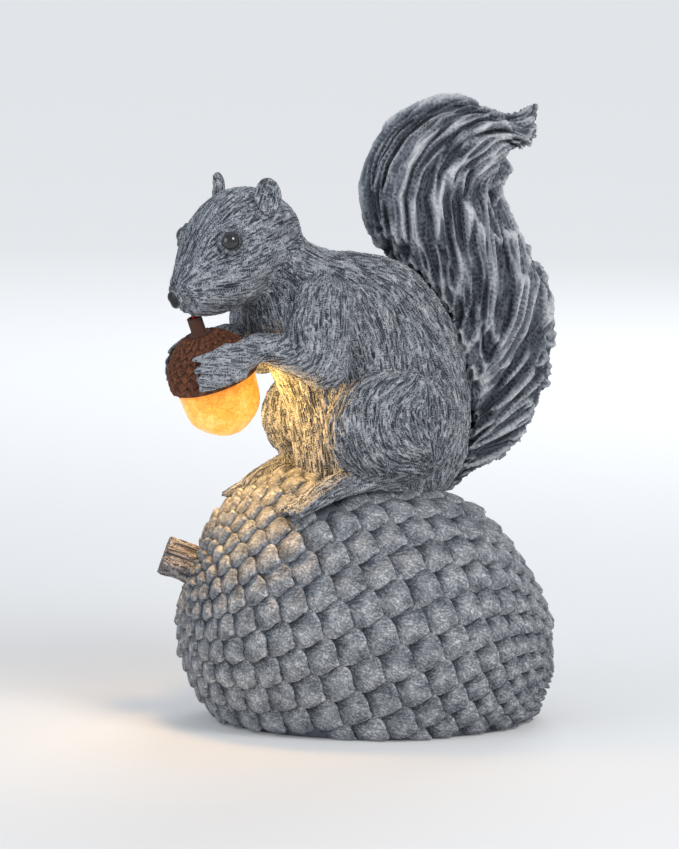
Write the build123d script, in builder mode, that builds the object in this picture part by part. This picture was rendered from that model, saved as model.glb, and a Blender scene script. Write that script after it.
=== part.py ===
from build123d import *
from math import cos, pi, radians, sin, tan
import os

# A squirrel figurine that holds a lit acorn and sits on a large scaled acorn.
# X runs to the right, Y away from the viewer and Z up, from the middle of the foot print.

os.makedirs("parts", exist_ok=True)

# Base: an acorn lying on its side, its stem up to the left
base_length = 154
base_radius = 64.5
base_tilt = 20
stem_pole_reach = 68.2
stem_pole_height = 63.2
shell_wall = 4.5
floor_thickness = 9
mouth_center = 7.5
mouth_length = 112
mouth_width = 87
wire_port_radius = 5
base_profile_shares = [
    (0.013, 0.341), (0.039, 0.496), (0.078, 0.636), (0.120, 0.744), (0.201, 0.868), (0.325, 0.961),
    (0.519, 1.000), (0.617, 0.984), (0.701, 0.930), (0.805, 0.791), (0.900, 0.605), (0.955, 0.435),
    (0.988, 0.250),
]

# Scales of the base
scale_relief = 3
scale_count = 24
scale_gap = 0.4
scale_sink = 2.6
scale_root_lift = 0.3
scale_tip_lift = 2.2
scale_pitch_floor = 6.4
scale_pitch_share = 0.6
scale_first_run = 12
scale_last_radius = 13
scale_rim_clearance = 0.3
base_facets = 20
scale_least_share = 0.3
scale_outline_shares = [(-1.00, 0.00), (-0.45, 0.40), (0.00, 1.00), (0.55, 0.60), (1.00, 0.00)]

# Stem of the base
stem_radius = 8
stem_reach = 10.2
stem_flutes = 9
flute_radius = 1.7
spigot_radius = 5
spigot_length = 4
spigot_clearance = 0.15

# Squirrel: its own directions are turned from the photo's
body_turn = 27
seat_height = 96
torso_height = 100
torso_depth = 80
torso_breadth = 64
torso_wall = 5
torso_section_shares = [
    (-0.275, -0.20, 0.450, -0.20, 0.36),
    (-0.300, 0.00, 0.480, -0.03, 0.42),
    (-0.325, 0.16, 0.588, 0.12, 0.48),
    (-0.363, 0.30, 0.606, 0.30, 0.50),
    (-0.425, 0.42, 0.569, 0.50, 0.48),
    (-0.513, 0.53, 0.463, 0.71, 0.45),
    (-0.588, 0.62, 0.275, 0.87, 0.42),
    (-0.613, 0.70, 0.025, 0.93, 0.40),
    (-0.613, 0.77, -0.175, 0.95, 0.34),
    (-0.625, 0.84, -0.338, 1.01, 0.27),
]
hollow_sections = 6

# Head
head_along = -57.3
head_across = -2.2
head_up = 97
head_turn = 12
head_pitch = 27
head_length = 60
head_breadth = 40
head_depth = 42
head_section_shares = [
    (-0.53, -0.09, 0.11, 0.12),
    (-0.50, -0.08, 0.21, 0.23),
    (-0.42, -0.05, 0.33, 0.36),
    (-0.27, 0.00, 0.44, 0.47),
    (-0.07, 0.01, 0.50, 0.51),
    (0.13, -0.04, 0.50, 0.46),
    (0.28, -0.09, 0.40, 0.37),
    (0.40, -0.12, 0.29, 0.27),
    (0.49, -0.12, 0.21, 0.19),
]
nose_along_share = 0.50
nose_up_share = -0.09
nose_radius = 4.8
eye_radius = 4.3
eye_along = 7.4
eye_across = 13.4
eye_up = 9.6
ear_along = -15.3
ear_across = 16.2
ear_up = 16.5
ear_thickness = 6.4
ear_width = 11
ear_height = 16
ear_lip = 1.3
ear_splay = 40

# Arms
arm_radius = 13
arm_path_shares = [
    (-0.27, 0.36, 0.76, 0.92),
    (-0.30, 0.40, 0.66, 1.00),
    (-0.29, 0.45, 0.53, 0.80),
]
forearm_radius = 8.2
wrist_radius = 5.8
palm_radius = 6.4
finger_count = 4
finger_root_radius = 2.3
finger_tip_radius = 1.5
finger_height = 27.4
finger_spacing = 3.7
finger_start_turn = 78
finger_end_turn = 132
finger_steps = 3
palm_turn = 66
wrist_turn = 40
wrist_gap = 4
forearm_share = 0.5

# Legs
haunch_along = 2
haunch_across = 28
haunch_up = 25.5
haunch_length = 60
haunch_breadth = 30
haunch_height = 46
foot_across = 25
foot_section_shares = [
    (0.07, 0.00, 0.03, 0.65, 0.60),
    (-0.12, 0.01, 0.05, 0.70, 0.52),
    (-0.28, 0.02, 0.01, 0.85, 0.45),
    (-0.35, 0.02, -0.03, 0.80, 0.35),
]
foot_width = 20
toe_count = 4
toe_spread = 16
toe_length = 9
toe_root_radius = 2.6
toe_tip_radius = 1.6
toe_fan = 30
toe_drop = 22
foot_clearing_depth = 20
body_clearing_middle = 9
body_clearing_length = 76
body_clearing_width = 61

# Tail
tail_height = 155
tail_depth = 85
tail_thickness = 40
tail_front = 3
tail_section_shares = [
    (0.318, -0.020, 0.450, -0.040, 0.230),
    (0.388, 0.052, 0.741, 0.052, 0.325),
    (0.440, 0.150, 0.910, 0.150, 0.390),
    (0.435, 0.310, 0.994, 0.310, 0.450),
    (0.350, 0.420, 1.000, 0.420, 0.480),
    (0.210, 0.530, 0.945, 0.530, 0.500),
    (0.070, 0.640, 0.820, 0.630, 0.490),
    (0.012, 0.750, 0.715, 0.725, 0.460),
    (0.035, 0.836, 0.712, 0.766, 0.425),
    (0.116, 0.912, 0.741, 0.787, 0.375),
    (0.247, 0.965, 0.812, 0.839, 0.325),
    (0.408, 0.994, 0.841, 0.848, 0.287),
    (0.568, 0.986, 0.859, 0.858, 0.237),
    (0.701, 0.956, 0.887, 0.865, 0.200),
    (0.807, 0.947, 0.912, 0.890, 0.163),
    (0.895, 0.968, 0.925, 0.912, 0.090),
    (0.922, 0.978, 0.938, 0.945, 0.040),
]

# Small acorn in the hands
acorn_tip_along = -56.4
acorn_tip_across = -2.7
acorn_tip_up = 23.5
acorn_lean_along = -17.9
acorn_lean_across = -1.6
acorn_lean_up = 47.5
nut_length = 24
nut_radius = 15.8
nut_wall = 1.6
neck_radius = 14.3
neck_length = 4
cap_radius = 18.7
cap_height = 22
cap_stem_radius = 3
cap_stem_length = 5
cap_cavity_depth = 9
cap_clearance = 0.2
cap_relief = 1.3
cap_facets = 10
cap_scale_count = 20
cap_scale_rows = 8
cap_scale_gap = 0.3
cap_scale_sink = 1.2
cap_scale_root_lift = 0.2
cap_scale_tip_lift = 0.9
nut_profile_shares = [(0.10, 0.45), (0.25, 0.74), (0.45, 0.94), (0.70, 1.00)]
cap_profile_shares = [(0.05, 0.30), (0.18, 0.57), (0.40, 0.82), (0.65, 0.97), (0.88, 1.00)]

# Lamp in the acorn
holder_thickness = 2
led_radius = 2.5
led_length = 8.6
led_flange_radius = 2.9
led_flange_height = 1
led_leg_radius = 0.25
led_leg_spread = 1.27
led_leg_length = 2
lamp_wire_radius = 0.9
wire_channel_radius = 1.9

# Solar panel in the rear flank of the base
panel_length = 55
panel_width = 40
panel_thickness = 2
seal_width = 1
panel_rim = 4
panel_station = 75
panel_turn = 60
panel_seat_drop = 6.5
panel_seat_depth = 8
panel_port_radius = 2.5

# Underside plate with the battery box
plate_recess = 3
plate_thickness = 3
plate_clearance = 0.4
plate_boss_radius = 5
plate_boss_height = 14
plate_boss_inset = 3.6
plate_screw_turns = (35, 145, 215, 325)
screw_radius = 1.5
screw_head_radius = 2.8
screw_head_height = 1.6
screw_length = 10
screw_slot_width = 0.8
screw_slot_depth = 0.8
screw_hole_clearance = 0.2
box_wall = 1.5
box_height = 18
box_across = -14
box_center = 6
battery_radius = 7.25
battery_length = 49.2
battery_nub_radius = 2.75
battery_nub_length = 1.3
battery_side_clearance = 0.5
contact_thickness = 0.5
contact_width = 10
contact_tab_height = 4
spring_length = 4.6
spring_reach = 4
spring_nose = 0.8
spring_foot = 0.6
spring_leaf = 0.4
spring_width = 6

# Battery door
door_thickness = 2
door_clearance = 0.3
door_hinge_radius = 1
door_pin_length = 1.6
door_pin_clearance = 0.2
door_tongue = 9
door_ledge = 1.2
door_open_angle = 75
door_screw_radius = 1.2
door_screw_clearance = 0.55
door_screw_head_radius = 2.2
door_screw_head_height = 1
door_screw_length = 5
door_boss_radius = 3.4
door_boss_height = 3.6

# Circuit board and switch
board_length = 36
board_width = 24
board_thickness = 1.6
board_center = 6
board_across = 16
board_standoff = 7
standoff_radius = 2.6
board_hole_inset = 3
board_screw_length = 6
board_screw_radius = 1.1
board_screw_head_radius = 2
board_screw_head_height = 1.2
switch_length = 8.6
switch_width = 4.4
switch_height = 4.7
switch_pocket_depth = 2
slider_length = 2.2
slider_width = 1.8
slider_travel = 2
slider_clearance = 0.15
slider_knob_length = 3
slider_below_plate = 1.4
chip_length = 5
chip_width = 4
chip_height = 1.75
coil_radius = 2.4
coil_length = 7
can_radius = 2.5
can_height = 7
socket_length = 5
socket_width = 4
socket_height = 4
wire_radius = 0.7
wire_clearance = 0.3
overrun = 1

FACING = Plane(
    origin=(0, 0, 0),
    x_dir=(cos(radians(body_turn)), sin(radians(body_turn)), 0),
    z_dir=(0, 0, 1),
)
BASE = Plane(
    origin=(-stem_pole_reach, 0, stem_pole_height),
    x_dir=(cos(radians(base_tilt)), 0, -sin(radians(base_tilt))),
    z_dir=(0, -1, 0),
)


def figure_point(along, across, up):
    """Return the place of a point given from the seat in the squirrel's own directions."""
    return FACING.from_local_coords(Vector(along, across, seat_height + up))


def base_profile(inset):
    """Return the curve of the base's half outline, shrunk by an inset."""
    length = base_length - 2 * inset
    radius = base_radius - inset
    middle = [(inset + along * length, across * radius) for along, across in base_profile_shares]
    points = [(inset, 0)] + middle + [(base_length - inset, 0)]
    with BuildLine(Plane.XY) as curve:
        Spline(points, tangents=[(0, 1), (0, -1)])
    return curve.edges()[0]


def turned_body(plane, curve, facets):
    """Return the solid that a curve's even facets make when turned about a plane's X axis."""
    with BuildPart() as body:
        with BuildSketch(plane):
            with BuildLine():
                Polyline([curve @ (step / facets) for step in range(facets + 1)], close=True)
            make_face()
        revolve(axis=Axis(plane.origin, plane.x_dir))
    return body.part


def ellipsoid(plane, half_x, half_y, half_z):
    """Return an ellipsoid in the middle of a plane, given its half sizes."""
    ball = Sphere(1, mode=Mode.PRIVATE)
    return plane.location * scale(ball, by=(half_x, half_y, half_z), mode=Mode.PRIVATE)


def limb(joints):
    """Return a rounded limb through a list of joints, each a place and a radius."""
    with BuildPart() as form:
        for (start, start_radius), (end, end_radius) in zip(joints, joints[1:]):
            with BuildSketch(Plane(origin=start, z_dir=end - start)):
                Circle(start_radius)
            with BuildSketch(Plane(origin=end, z_dir=end - start)):
                Circle(end_radius)
            loft(ruled=True)
        for place, radius in joints:
            with Locations(place):
                Sphere(radius)
    return form.part


def bend_radii(points):
    """Return the radius of the arc at each corner of a wire's route."""
    radii = []
    for before, corner, after in zip(points, points[1:], points[2:]):
        into = Vector(corner) - Vector(before)
        out = Vector(after) - Vector(corner)
        half_turn = radians(into.get_angle(out) / 2)
        radii.append(0.45 * min(into.length, out.length) / tan(half_turn))
    return radii


def tube(points, radius):
    """Return a round tube along straight runs joined by arcs."""
    with BuildPart() as form:
        with BuildLine() as route:
            FilletPolyline(points, radius=bend_radii(points))
        with BuildSketch(Plane(origin=route.line @ 0, z_dir=route.line % 0)):
            Circle(radius)
        sweep()
    return form.part


def ring_rows(profile, count, first_run, last_radius, pitch_share, pitch_floor):
    """Return the run along a profile and the pitch of each ring of scales."""
    rows = []
    run = first_run
    reach = profile.position_at(run, PositionMode.LENGTH).Y
    while run < profile.length / 2 or reach > last_radius:
        pitch = max(pitch_floor, pitch_share * 2 * pi * reach / count)
        rows.append((run, pitch))
        run += pitch
        reach = profile.position_at(run, PositionMode.LENGTH).Y
    return rows


def scale_rings(plane, body, profile, rows, count, gap, sink, root_lift, tip_lift):
    """Return overlapping scales, bedded on a body turned about a plane's X axis.

    Each scale is a flat-sided block over the body's tangent plane, cut to the body. Its outline
    meets its neighbours' but for a gap, and its top rises from the root, nearest the stem, to the
    tip. The scales of one ring are copies of the first, turned about the axis.
    """
    tiles = []
    for number, (run, pitch) in enumerate(rows):
        foot = profile.position_at(run, PositionMode.LENGTH)
        rise = profile.tangent_at(run, PositionMode.LENGTH)
        outline = []
        for along_share, across_share in scale_outline_shares:
            ahead = min(run + along_share * pitch, profile.length)
            reach = profile.position_at(ahead, PositionMode.LENGTH).Y
            half_width = across_share * (pi * reach / count - gap / 2)
            outline.append((along_share * (pitch - gap / 2), half_width))
        outline += [(along, -across) for along, across in reversed(outline[1:-1])]
        seat = Plane(
            origin=plane.origin + plane.x_dir * foot.X + plane.y_dir * foot.Y,
            x_dir=plane.x_dir * rise.X + plane.y_dir * rise.Y,
            z_dir=plane.y_dir * rise.X - plane.x_dir * rise.Y,
        )
        tilt = (tip_lift - root_lift) / (2 * pitch)
        crown = Plane(
            origin=seat.origin + seat.z_dir * (tip_lift + root_lift) / 2,
            x_dir=seat.x_dir + seat.z_dir * tilt,
            z_dir=seat.z_dir - seat.x_dir * tilt,
        )
        with BuildPart() as tile:
            with BuildSketch(seat.offset(-sink)):
                Polygon(*outline, align=None)
            extrude(amount=sink + 2 * tip_lift)
            split(bisect_by=crown, keep=Keep.BOTTOM)
            add(body, mode=Mode.SUBTRACT)
        for turn in range(count):
            angle = (turn + (number % 2) / 2) * 360 / count
            tiles.append(tile.part.rotate(Axis(plane.origin, plane.x_dir), angle))
    return tiles


def boxes_meet(first, second):
    """Return whether two bounding boxes overlap."""
    apart = (
        first.min.X > second.max.X or second.min.X > first.max.X
        or first.min.Y > second.max.Y or second.min.Y > first.max.Y
        or first.min.Z > second.max.Z or second.min.Z > first.max.Z
    )
    return not apart


def trimmed_scales(tiles, floor, obstacles):
    """Return the scales cut at the floor and by what stands on the base, without crumbs."""
    kept = []
    obstacle_boxes = [obstacle.bounding_box() for obstacle in obstacles]
    for tile in tiles:
        whole = tile.volume
        box = tile.bounding_box()
        if box.max.Z < floor:
            continue
        if box.min.Z < floor:
            tile = split(tile, bisect_by=Plane.XY.offset(floor), keep=Keep.TOP)
        for obstacle, obstacle_box in zip(obstacles, obstacle_boxes):
            if tile and boxes_meet(box, obstacle_box):
                tile = tile - obstacle
        if tile:
            kept += [piece for piece in tile.solids() if piece.volume > scale_least_share * whole]
    return kept


def chord_form(chords, wall=0):
    """Return a lofted form through ellipses on chords of the squirrel's middle plane.

    Each chord has its front and back point, as (along, up), and its half breadth.
    """
    with BuildPart() as form:
        for front, back, half_breadth in chords:
            start = figure_point(front[0], 0, front[1])
            end = figure_point(back[0], 0, back[1])
            chord = end - start
            plane = Plane(origin=(start + end) / 2, x_dir=chord, z_dir=chord.cross(FACING.y_dir))
            with BuildSketch(plane):
                Ellipse(chord.length / 2 - wall, half_breadth - wall)
        loft()
    return form.part


def crossed_screw(plane, radius, length, head_radius, head_height):
    """Return a pan screw whose head lies under a plane and whose shank rises from it."""
    with BuildPart() as screw:
        with BuildSketch(plane):
            Circle(radius)
        extrude(amount=length)
        with BuildSketch(plane):
            Circle(head_radius)
        extrude(amount=-head_height)
        with BuildSketch(plane.offset(-head_height)):
            Rectangle(head_radius, screw_slot_width)
            Rectangle(screw_slot_width, head_radius)
        extrude(amount=head_height / 2, mode=Mode.SUBTRACT)
    return screw.part


def save(piece, name):
    """Label a piece and write it to its file."""
    piece.label = name
    export_step(piece, f"parts/{name}.step", write_pcurves=False)


# Smooth bodies that the pieces of the base share
base_curve = base_profile(scale_relief)
base_core = turned_body(BASE, base_curve, base_facets)
base_hollow = turned_body(BASE, base_profile(scale_relief + shell_wall), base_facets)

# Small acorn: its axis leans back from the tip
ACORN_AXIS = FACING.x_dir * acorn_lean_along + FACING.y_dir * acorn_lean_across
ACORN_AXIS = (ACORN_AXIS + FACING.z_dir * acorn_lean_up).normalized()
ACORN_TIP = figure_point(acorn_tip_along, acorn_tip_across, acorn_tip_up)
ACORN = Plane(origin=ACORN_TIP, x_dir=FACING.y_dir.cross(ACORN_AXIS), z_dir=ACORN_AXIS)
ACORN_HALF = Plane(origin=ACORN_TIP, x_dir=ACORN_AXIS, z_dir=-ACORN.y_dir)
cap_top_up = nut_length + cap_height
CAP_HALF = Plane(
    origin=ACORN_TIP + ACORN_AXIS * cap_top_up, x_dir=-ACORN_AXIS, z_dir=ACORN.y_dir
)
acorn_turn_axis = Axis(ACORN_TIP, ACORN_AXIS)


def cap_curve(inset):
    """Return the curve of the cap's half outline from its stem to its rim, shrunk by an inset."""
    radius = cap_radius - inset
    height = cap_height - inset
    middle = [(inset + down * height, out * radius) for down, out in cap_profile_shares]
    points = [(inset, cap_stem_radius)] + middle + [(cap_height, radius)]
    with BuildLine(Plane.XY) as curve:
        Spline(points)
    return curve.edges()[0]


def cap_solid(inset):
    """Return the whole cap with its stem, before it is hollowed."""
    curve = cap_curve(inset)
    with BuildPart() as body:
        with BuildSketch(CAP_HALF):
            with BuildLine():
                stem = [(-cap_stem_length, 0), (-cap_stem_length, cap_stem_radius)]
                dome = [curve @ (step / cap_facets) for step in range(cap_facets + 1)]
                Polyline(*stem, *dome, (cap_height, 0), close=True)
            make_face()
        revolve(axis=acorn_turn_axis)
    return body.part


cap_envelope = cap_solid(0)
cap_core = cap_solid(cap_relief)

# Torso
torso_chords = [
    (
        (front_along * torso_depth, front_up * torso_height),
        (back_along * torso_depth, back_up * torso_height),
        half_breadth * torso_breadth,
    )
    for front_along, front_up, back_along, back_up, half_breadth in torso_section_shares
]
with BuildPart() as torso_form:
    add(chord_form(torso_chords))
    add(base_core, mode=Mode.SUBTRACT)
torso_hollow = chord_form(torso_chords[:hollow_sections], wall=torso_wall)

# Head
head_forward = FACING.x_dir * -cos(radians(head_turn)) + FACING.y_dir * -sin(radians(head_turn))
head_nod = radians(head_pitch)
HEAD = Plane(
    origin=figure_point(head_along, head_across, head_up),
    x_dir=head_forward * cos(head_nod) - FACING.z_dir * sin(head_nod),
    z_dir=head_forward * sin(head_nod) + FACING.z_dir * cos(head_nod),
)
LEVEL_HEAD = Plane(origin=HEAD.origin, x_dir=head_forward, z_dir=FACING.z_dir)


def head_point(along, across, up):
    """Return the place of a point given in the head's own directions."""
    return HEAD.from_local_coords(Vector(along, across, up))


with BuildPart() as head_form:
    for along, up, half_breadth, half_depth in head_section_shares:
        center = head_point(along * head_length, 0, up * head_depth)
        with BuildSketch(Plane(origin=center, x_dir=HEAD.y_dir, z_dir=HEAD.x_dir)):
            Ellipse(half_breadth * head_breadth, half_depth * head_depth)
    loft()
    with Locations(head_point(nose_along_share * head_length, 0, nose_up_share * head_depth)):
        Sphere(nose_radius)

# Route of the lamp wire, from the circuit board up through the body to the lamp
board_floor = plate_recess + plate_thickness + board_standoff
board_top = board_floor + board_thickness
socket_top = board_top + socket_height
socket_place_shares = [(-0.40, 0.30), (0.05, 0.36), (0.36, -0.02), (0.36, -0.30)]
socket_places = [
    (board_center + along * board_length, board_across + across * board_width)
    for along, across in socket_place_shares
]
led_flange_up = nut_length + neck_length + holder_thickness
led_top_up = led_flange_up + led_flange_height
wire_start = ACORN.from_local_coords(Vector(0, 0, led_top_up + led_leg_length))
lamp_socket = socket_places[0]
lamp_route = [
    wire_start,
    ACORN.from_local_coords(Vector(0, 0, nut_length + cap_height + cap_stem_length + 7)),
    figure_point(-70, -4, 88),
    figure_point(-58, -3, 93),
    figure_point(-44, -2, 89),
    figure_point(-30, -1, 77),
    figure_point(-17, 0, 58),
    figure_point(-6, 0, 34),
    figure_point(0, 0, 6),
    Vector(0, 4, 70),
    Vector(lamp_socket[0], lamp_socket[1], 42),
    Vector(lamp_socket[0], lamp_socket[1], socket_top),
]
print("lamp wire radii", [round(radius, 1) for radius in bend_radii(lamp_route)])
with BuildPart() as lamp_wire:
    add(tube(lamp_route, lamp_wire_radius))
wire_channel = tube(lamp_route, wire_channel_radius)
save(lamp_wire.part, "lamp_wire")

with BuildPart() as torso:
    add(torso_form.part)
    add(torso_hollow, mode=Mode.SUBTRACT)
    add(wire_channel, mode=Mode.SUBTRACT)
save(torso.part, "torso")

# Eyes
eye_balls = {}
for side, name in ((1, "eye_left"), (-1, "eye_right")):
    with BuildPart() as eye:
        with Locations(head_point(eye_along, side * eye_across, eye_up)):
            Sphere(eye_radius)
    eye_balls[name] = eye.part
    save(eye.part, name)

with BuildPart() as head:
    add(head_form.part)
    add(torso_form.part, mode=Mode.SUBTRACT)
    add(list(eye_balls.values()), mode=Mode.SUBTRACT)
    add(cap_envelope, mode=Mode.SUBTRACT)
    add(wire_channel, mode=Mode.SUBTRACT)
save(head.part, "head")

# Ears, each a cup that opens forwards and outwards
for side, name in ((1, "ear_left"), (-1, "ear_right")):
    splay = radians(ear_splay)
    outward = LEVEL_HEAD.x_dir * cos(splay) + LEVEL_HEAD.y_dir * side * sin(splay)
    ear_plane = Plane(
        origin=head_point(ear_along, side * ear_across, ear_up), x_dir=outward, z_dir=FACING.z_dir
    )
    bowl_plane = Plane(
        origin=ear_plane.origin + outward * ear_thickness / 2,
        x_dir=outward,
        z_dir=FACING.z_dir,
    )
    cup = ellipsoid(ear_plane, ear_thickness / 2, ear_width / 2, ear_height / 2)
    bowl = ellipsoid(
        bowl_plane, ear_thickness / 2, ear_width / 2 - ear_lip, ear_height / 2 - ear_lip
    )
    with BuildPart() as ear:
        add(cup)
        add([bowl, head_form.part], mode=Mode.SUBTRACT)
    save(ear.part, name)



def foot_form(places):
    """Return the lofted foot through places, with the half width and height of each share."""
    with BuildPart() as form:
        for number, place in enumerate(places):
            ahead = places[min(number + 1, len(places) - 1)]
            behind = places[max(number - 1, 0)]
            half_width, half_height = foot_section_shares[number][3:]
            with BuildSketch(Plane(origin=place, x_dir=FACING.y_dir, z_dir=ahead - behind)):
                Ellipse(half_width * foot_width / 2, half_height * foot_width / 2)
        loft()
    return form.part


def foot_footprint(places):
    """Return an upright block round a foot and its toes, for clearing the scales under it."""
    heel = places[0]
    reach = places[-1] - heel
    reach = Vector(reach.X, reach.Y, 0)
    length = reach.length + toe_length + 2 * toe_tip_radius
    middle = heel + reach.normalized() * (length / 2)
    with BuildPart() as block:
        plane = Plane(origin=(middle.X, middle.Y, 0), x_dir=reach, z_dir=(0, 0, 1))
        with BuildSketch(plane.offset(seat_height - foot_clearing_depth)):
            Rectangle(length, foot_width + 2 * scale_gap)
        extrude(amount=2 * foot_clearing_depth)
    return block.part


def toe_forms(base):
    """Return the toes that fan out and down from the front of a foot."""
    drop = radians(toe_drop)
    toes = []
    for toe in range(toe_count):
        place = toe / (toe_count - 1) - 1 / 2
        fan = radians(toe_fan * place)
        root = base + FACING.y_dir * place * (toe_spread - 2 * toe_root_radius)
        level = FACING.x_dir * -cos(fan) + FACING.y_dir * sin(fan)
        tip = root + (level * cos(drop) - FACING.z_dir * sin(drop)) * toe_length
        toes.append(limb([(root, toe_root_radius), (tip, toe_tip_radius)]))
    return toes


# Legs, each with a haunch, a long foot and toes that hang over the base
leg_parts = []
foot_footprints = []
for side, name in ((-1, "leg_left"), (1, "leg_right")):
    haunch_plane = Plane(
        origin=figure_point(haunch_along, side * haunch_across, haunch_up),
        x_dir=FACING.x_dir,
        z_dir=FACING.z_dir,
    )
    foot_places = [
        figure_point(
            along * torso_height, side * (foot_across + across * torso_breadth), up * torso_height
        )
        for along, across, up, half_width, half_height in foot_section_shares
    ]
    haunch = ellipsoid(haunch_plane, haunch_length / 2, haunch_breadth / 2, haunch_height / 2)
    foot = foot_form(foot_places)
    toes = toe_forms(foot_places[-1])
    with BuildPart() as leg:
        add([haunch, foot] + toes)
        add([torso_form.part, base_core], mode=Mode.SUBTRACT)
    leg_parts.append(leg.part)
    foot_footprints.append(foot_footprint(foot_places))
    save(leg.part, name)

# Tail
tail_chords = [
    (
        (tail_front + front_along * tail_depth, front_up * tail_height),
        (tail_front + back_along * tail_depth, back_up * tail_height),
        half_breadth * tail_thickness,
    )
    for front_along, front_up, back_along, back_up, half_breadth in tail_section_shares
]
with BuildPart() as tail:
    add(chord_form(tail_chords))
    add(torso_form.part, mode=Mode.SUBTRACT)
    add(base_core, mode=Mode.SUBTRACT)
    add(leg_parts, mode=Mode.SUBTRACT)
save(tail.part, "tail")


def nut_body(inset):
    """Return the nut's solid body up to its shoulder, shrunk by an inset."""
    middle = [
        (inset + up * (nut_length - inset), out * (nut_radius - inset))
        for up, out in nut_profile_shares
    ]
    points = [(inset, 0)] + middle + [(nut_length, nut_radius - inset)]
    with BuildPart() as body:
        with BuildSketch(ACORN_HALF):
            with BuildLine():
                Spline(points, tangents=[(0, 1), (1, 0)])
                Polyline(points[-1], (nut_length, 0), points[0])
            make_face()
        revolve(axis=acorn_turn_axis)
    return body.part


# Small acorn: nut, cap and the cap's scales
nut_outside = nut_body(0)
nut_shoulder = ACORN.offset(nut_length - nut_wall)
nut_inside = split(nut_body(nut_wall), bisect_by=nut_shoulder, keep=Keep.BOTTOM)
with BuildPart() as acorn_nut:
    add(nut_outside)
    add(nut_inside, mode=Mode.SUBTRACT)
    with BuildSketch(ACORN.offset(nut_length)):
        Circle(neck_radius)
    extrude(amount=neck_length)
    with BuildSketch(nut_shoulder):
        Circle(neck_radius - nut_wall)
    extrude(amount=neck_length + nut_wall, mode=Mode.SUBTRACT)
save(acorn_nut.part, "acorn_nut")

with BuildPart() as acorn_cap:
    add(cap_core)
    with BuildSketch(ACORN.offset(nut_length)):
        Circle(neck_radius + cap_clearance)
    extrude(amount=cap_cavity_depth, mode=Mode.SUBTRACT)
    add(wire_channel, mode=Mode.SUBTRACT)
save(acorn_cap.part, "acorn_cap")

with BuildPart() as led_holder:
    with BuildSketch(ACORN.offset(nut_length + neck_length)):
        Circle(neck_radius + cap_clearance)
        Circle(led_radius, mode=Mode.SUBTRACT)
    extrude(amount=holder_thickness)
save(led_holder.part, "led_holder")

with BuildPart() as led:
    with BuildSketch(ACORN.offset(led_flange_up)):
        Circle(led_flange_radius)
    extrude(amount=led_flange_height)
    with BuildSketch(ACORN.offset(led_flange_up)):
        Circle(led_radius)
    extrude(amount=-(led_length - led_radius))
    with Locations(ACORN.from_local_coords(Vector(0, 0, led_flange_up - led_length + led_radius))):
        Sphere(led_radius)
    with BuildSketch(ACORN.offset(led_top_up)):
        with GridLocations(2 * led_leg_spread, 0, 2, 1):
            Circle(led_leg_radius)
    extrude(amount=led_leg_length)
save(led.part, "led")

# Arms, whose fingers curl round the cap
cap_surface = cap_curve(0)


def cap_reach(up):
    """Return the cap's radius at a height above the nut's tip."""
    down = cap_top_up - up
    steps = [cap_surface @ (step / cap_facets) for step in range(cap_facets + 1)]
    for high, low in zip(steps, steps[1:]):
        if down <= low.X:
            return high.Y + (low.Y - high.Y) * (down - high.X) / (low.X - high.X)
    return cap_radius


def around_cap(turn, side, up, out):
    """Return a place beside the cap, by its turn from the body side, its height and distance."""
    angle = radians(turn)
    reach = cap_reach(up) + out
    return ACORN.from_local_coords(Vector(reach * cos(angle), side * reach * sin(angle), up))


arm_parts = {}
for side, name in ((-1, "arm_left"), (1, "arm_right")):
    upper = [
        (
            figure_point(along * torso_height, side * across * torso_breadth, up * torso_height),
            radius * arm_radius,
        )
        for along, across, up, radius in arm_path_shares
    ]
    palm_up = finger_height + finger_spacing * (finger_count - 1) / 2
    palm = around_cap(palm_turn, side, palm_up, 0)
    wrist = around_cap(wrist_turn, side, palm_up, wrist_gap)
    elbow, elbow_radius = upper[-1]
    middle = elbow + (wrist - elbow) * forearm_share
    lower = [(elbow, elbow_radius), (middle, forearm_radius), (wrist, wrist_radius)]
    lower.append((palm, palm_radius))
    fingers = []
    for finger in range(finger_count):
        up = finger_height + finger * finger_spacing
        joints = []
        for step in range(finger_steps + 1):
            share = step / finger_steps
            turn = finger_start_turn + (finger_end_turn - finger_start_turn) * share
            radius = finger_root_radius + (finger_tip_radius - finger_root_radius) * share
            joints.append((around_cap(turn, side, up, radius / 2), radius))
        fingers.append(limb(joints))
    with BuildPart() as arm:
        add([limb(upper), limb(lower)] + fingers)
        add([torso_form.part, cap_envelope, head_form.part], mode=Mode.SUBTRACT)
    arm_parts[name] = max(arm.part.solids(), key=lambda piece: piece.volume)
    save(arm_parts[name], name)

# Scales of the cap, with their tips to the rim
cap_core_curve = cap_curve(cap_relief)
cap_pitch = cap_core_curve.length / (cap_scale_rows + 1)
cap_rows = [((row + 1) * cap_pitch, cap_pitch) for row in range(cap_scale_rows)]
cap_tiles = scale_rings(
    CAP_HALF, cap_core, cap_core_curve, cap_rows, cap_scale_count,
    cap_scale_gap, cap_scale_sink, cap_scale_root_lift, cap_scale_tip_lift,
)
save(Compound(cap_tiles), "acorn_cap_scales")

# Stem of the base, fluted, with a spigot in the shell
stem_root = scale_relief + overrun
STEM = Plane(origin=BASE.origin + BASE.x_dir * stem_root, x_dir=BASE.y_dir, z_dir=-BASE.x_dir)
with BuildPart() as base_stem:
    with BuildSketch(STEM):
        Circle(stem_radius)
        with PolarLocations(stem_radius + flute_radius / 3, stem_flutes):
            Circle(flute_radius, mode=Mode.SUBTRACT)
    extrude(amount=stem_reach + stem_root)
    add(base_core, mode=Mode.SUBTRACT)
    with BuildSketch(STEM.offset(overrun - spigot_length)):
        Circle(spigot_radius)
    extrude(amount=spigot_length + overrun)
save(base_stem.part, "base_stem")

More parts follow.
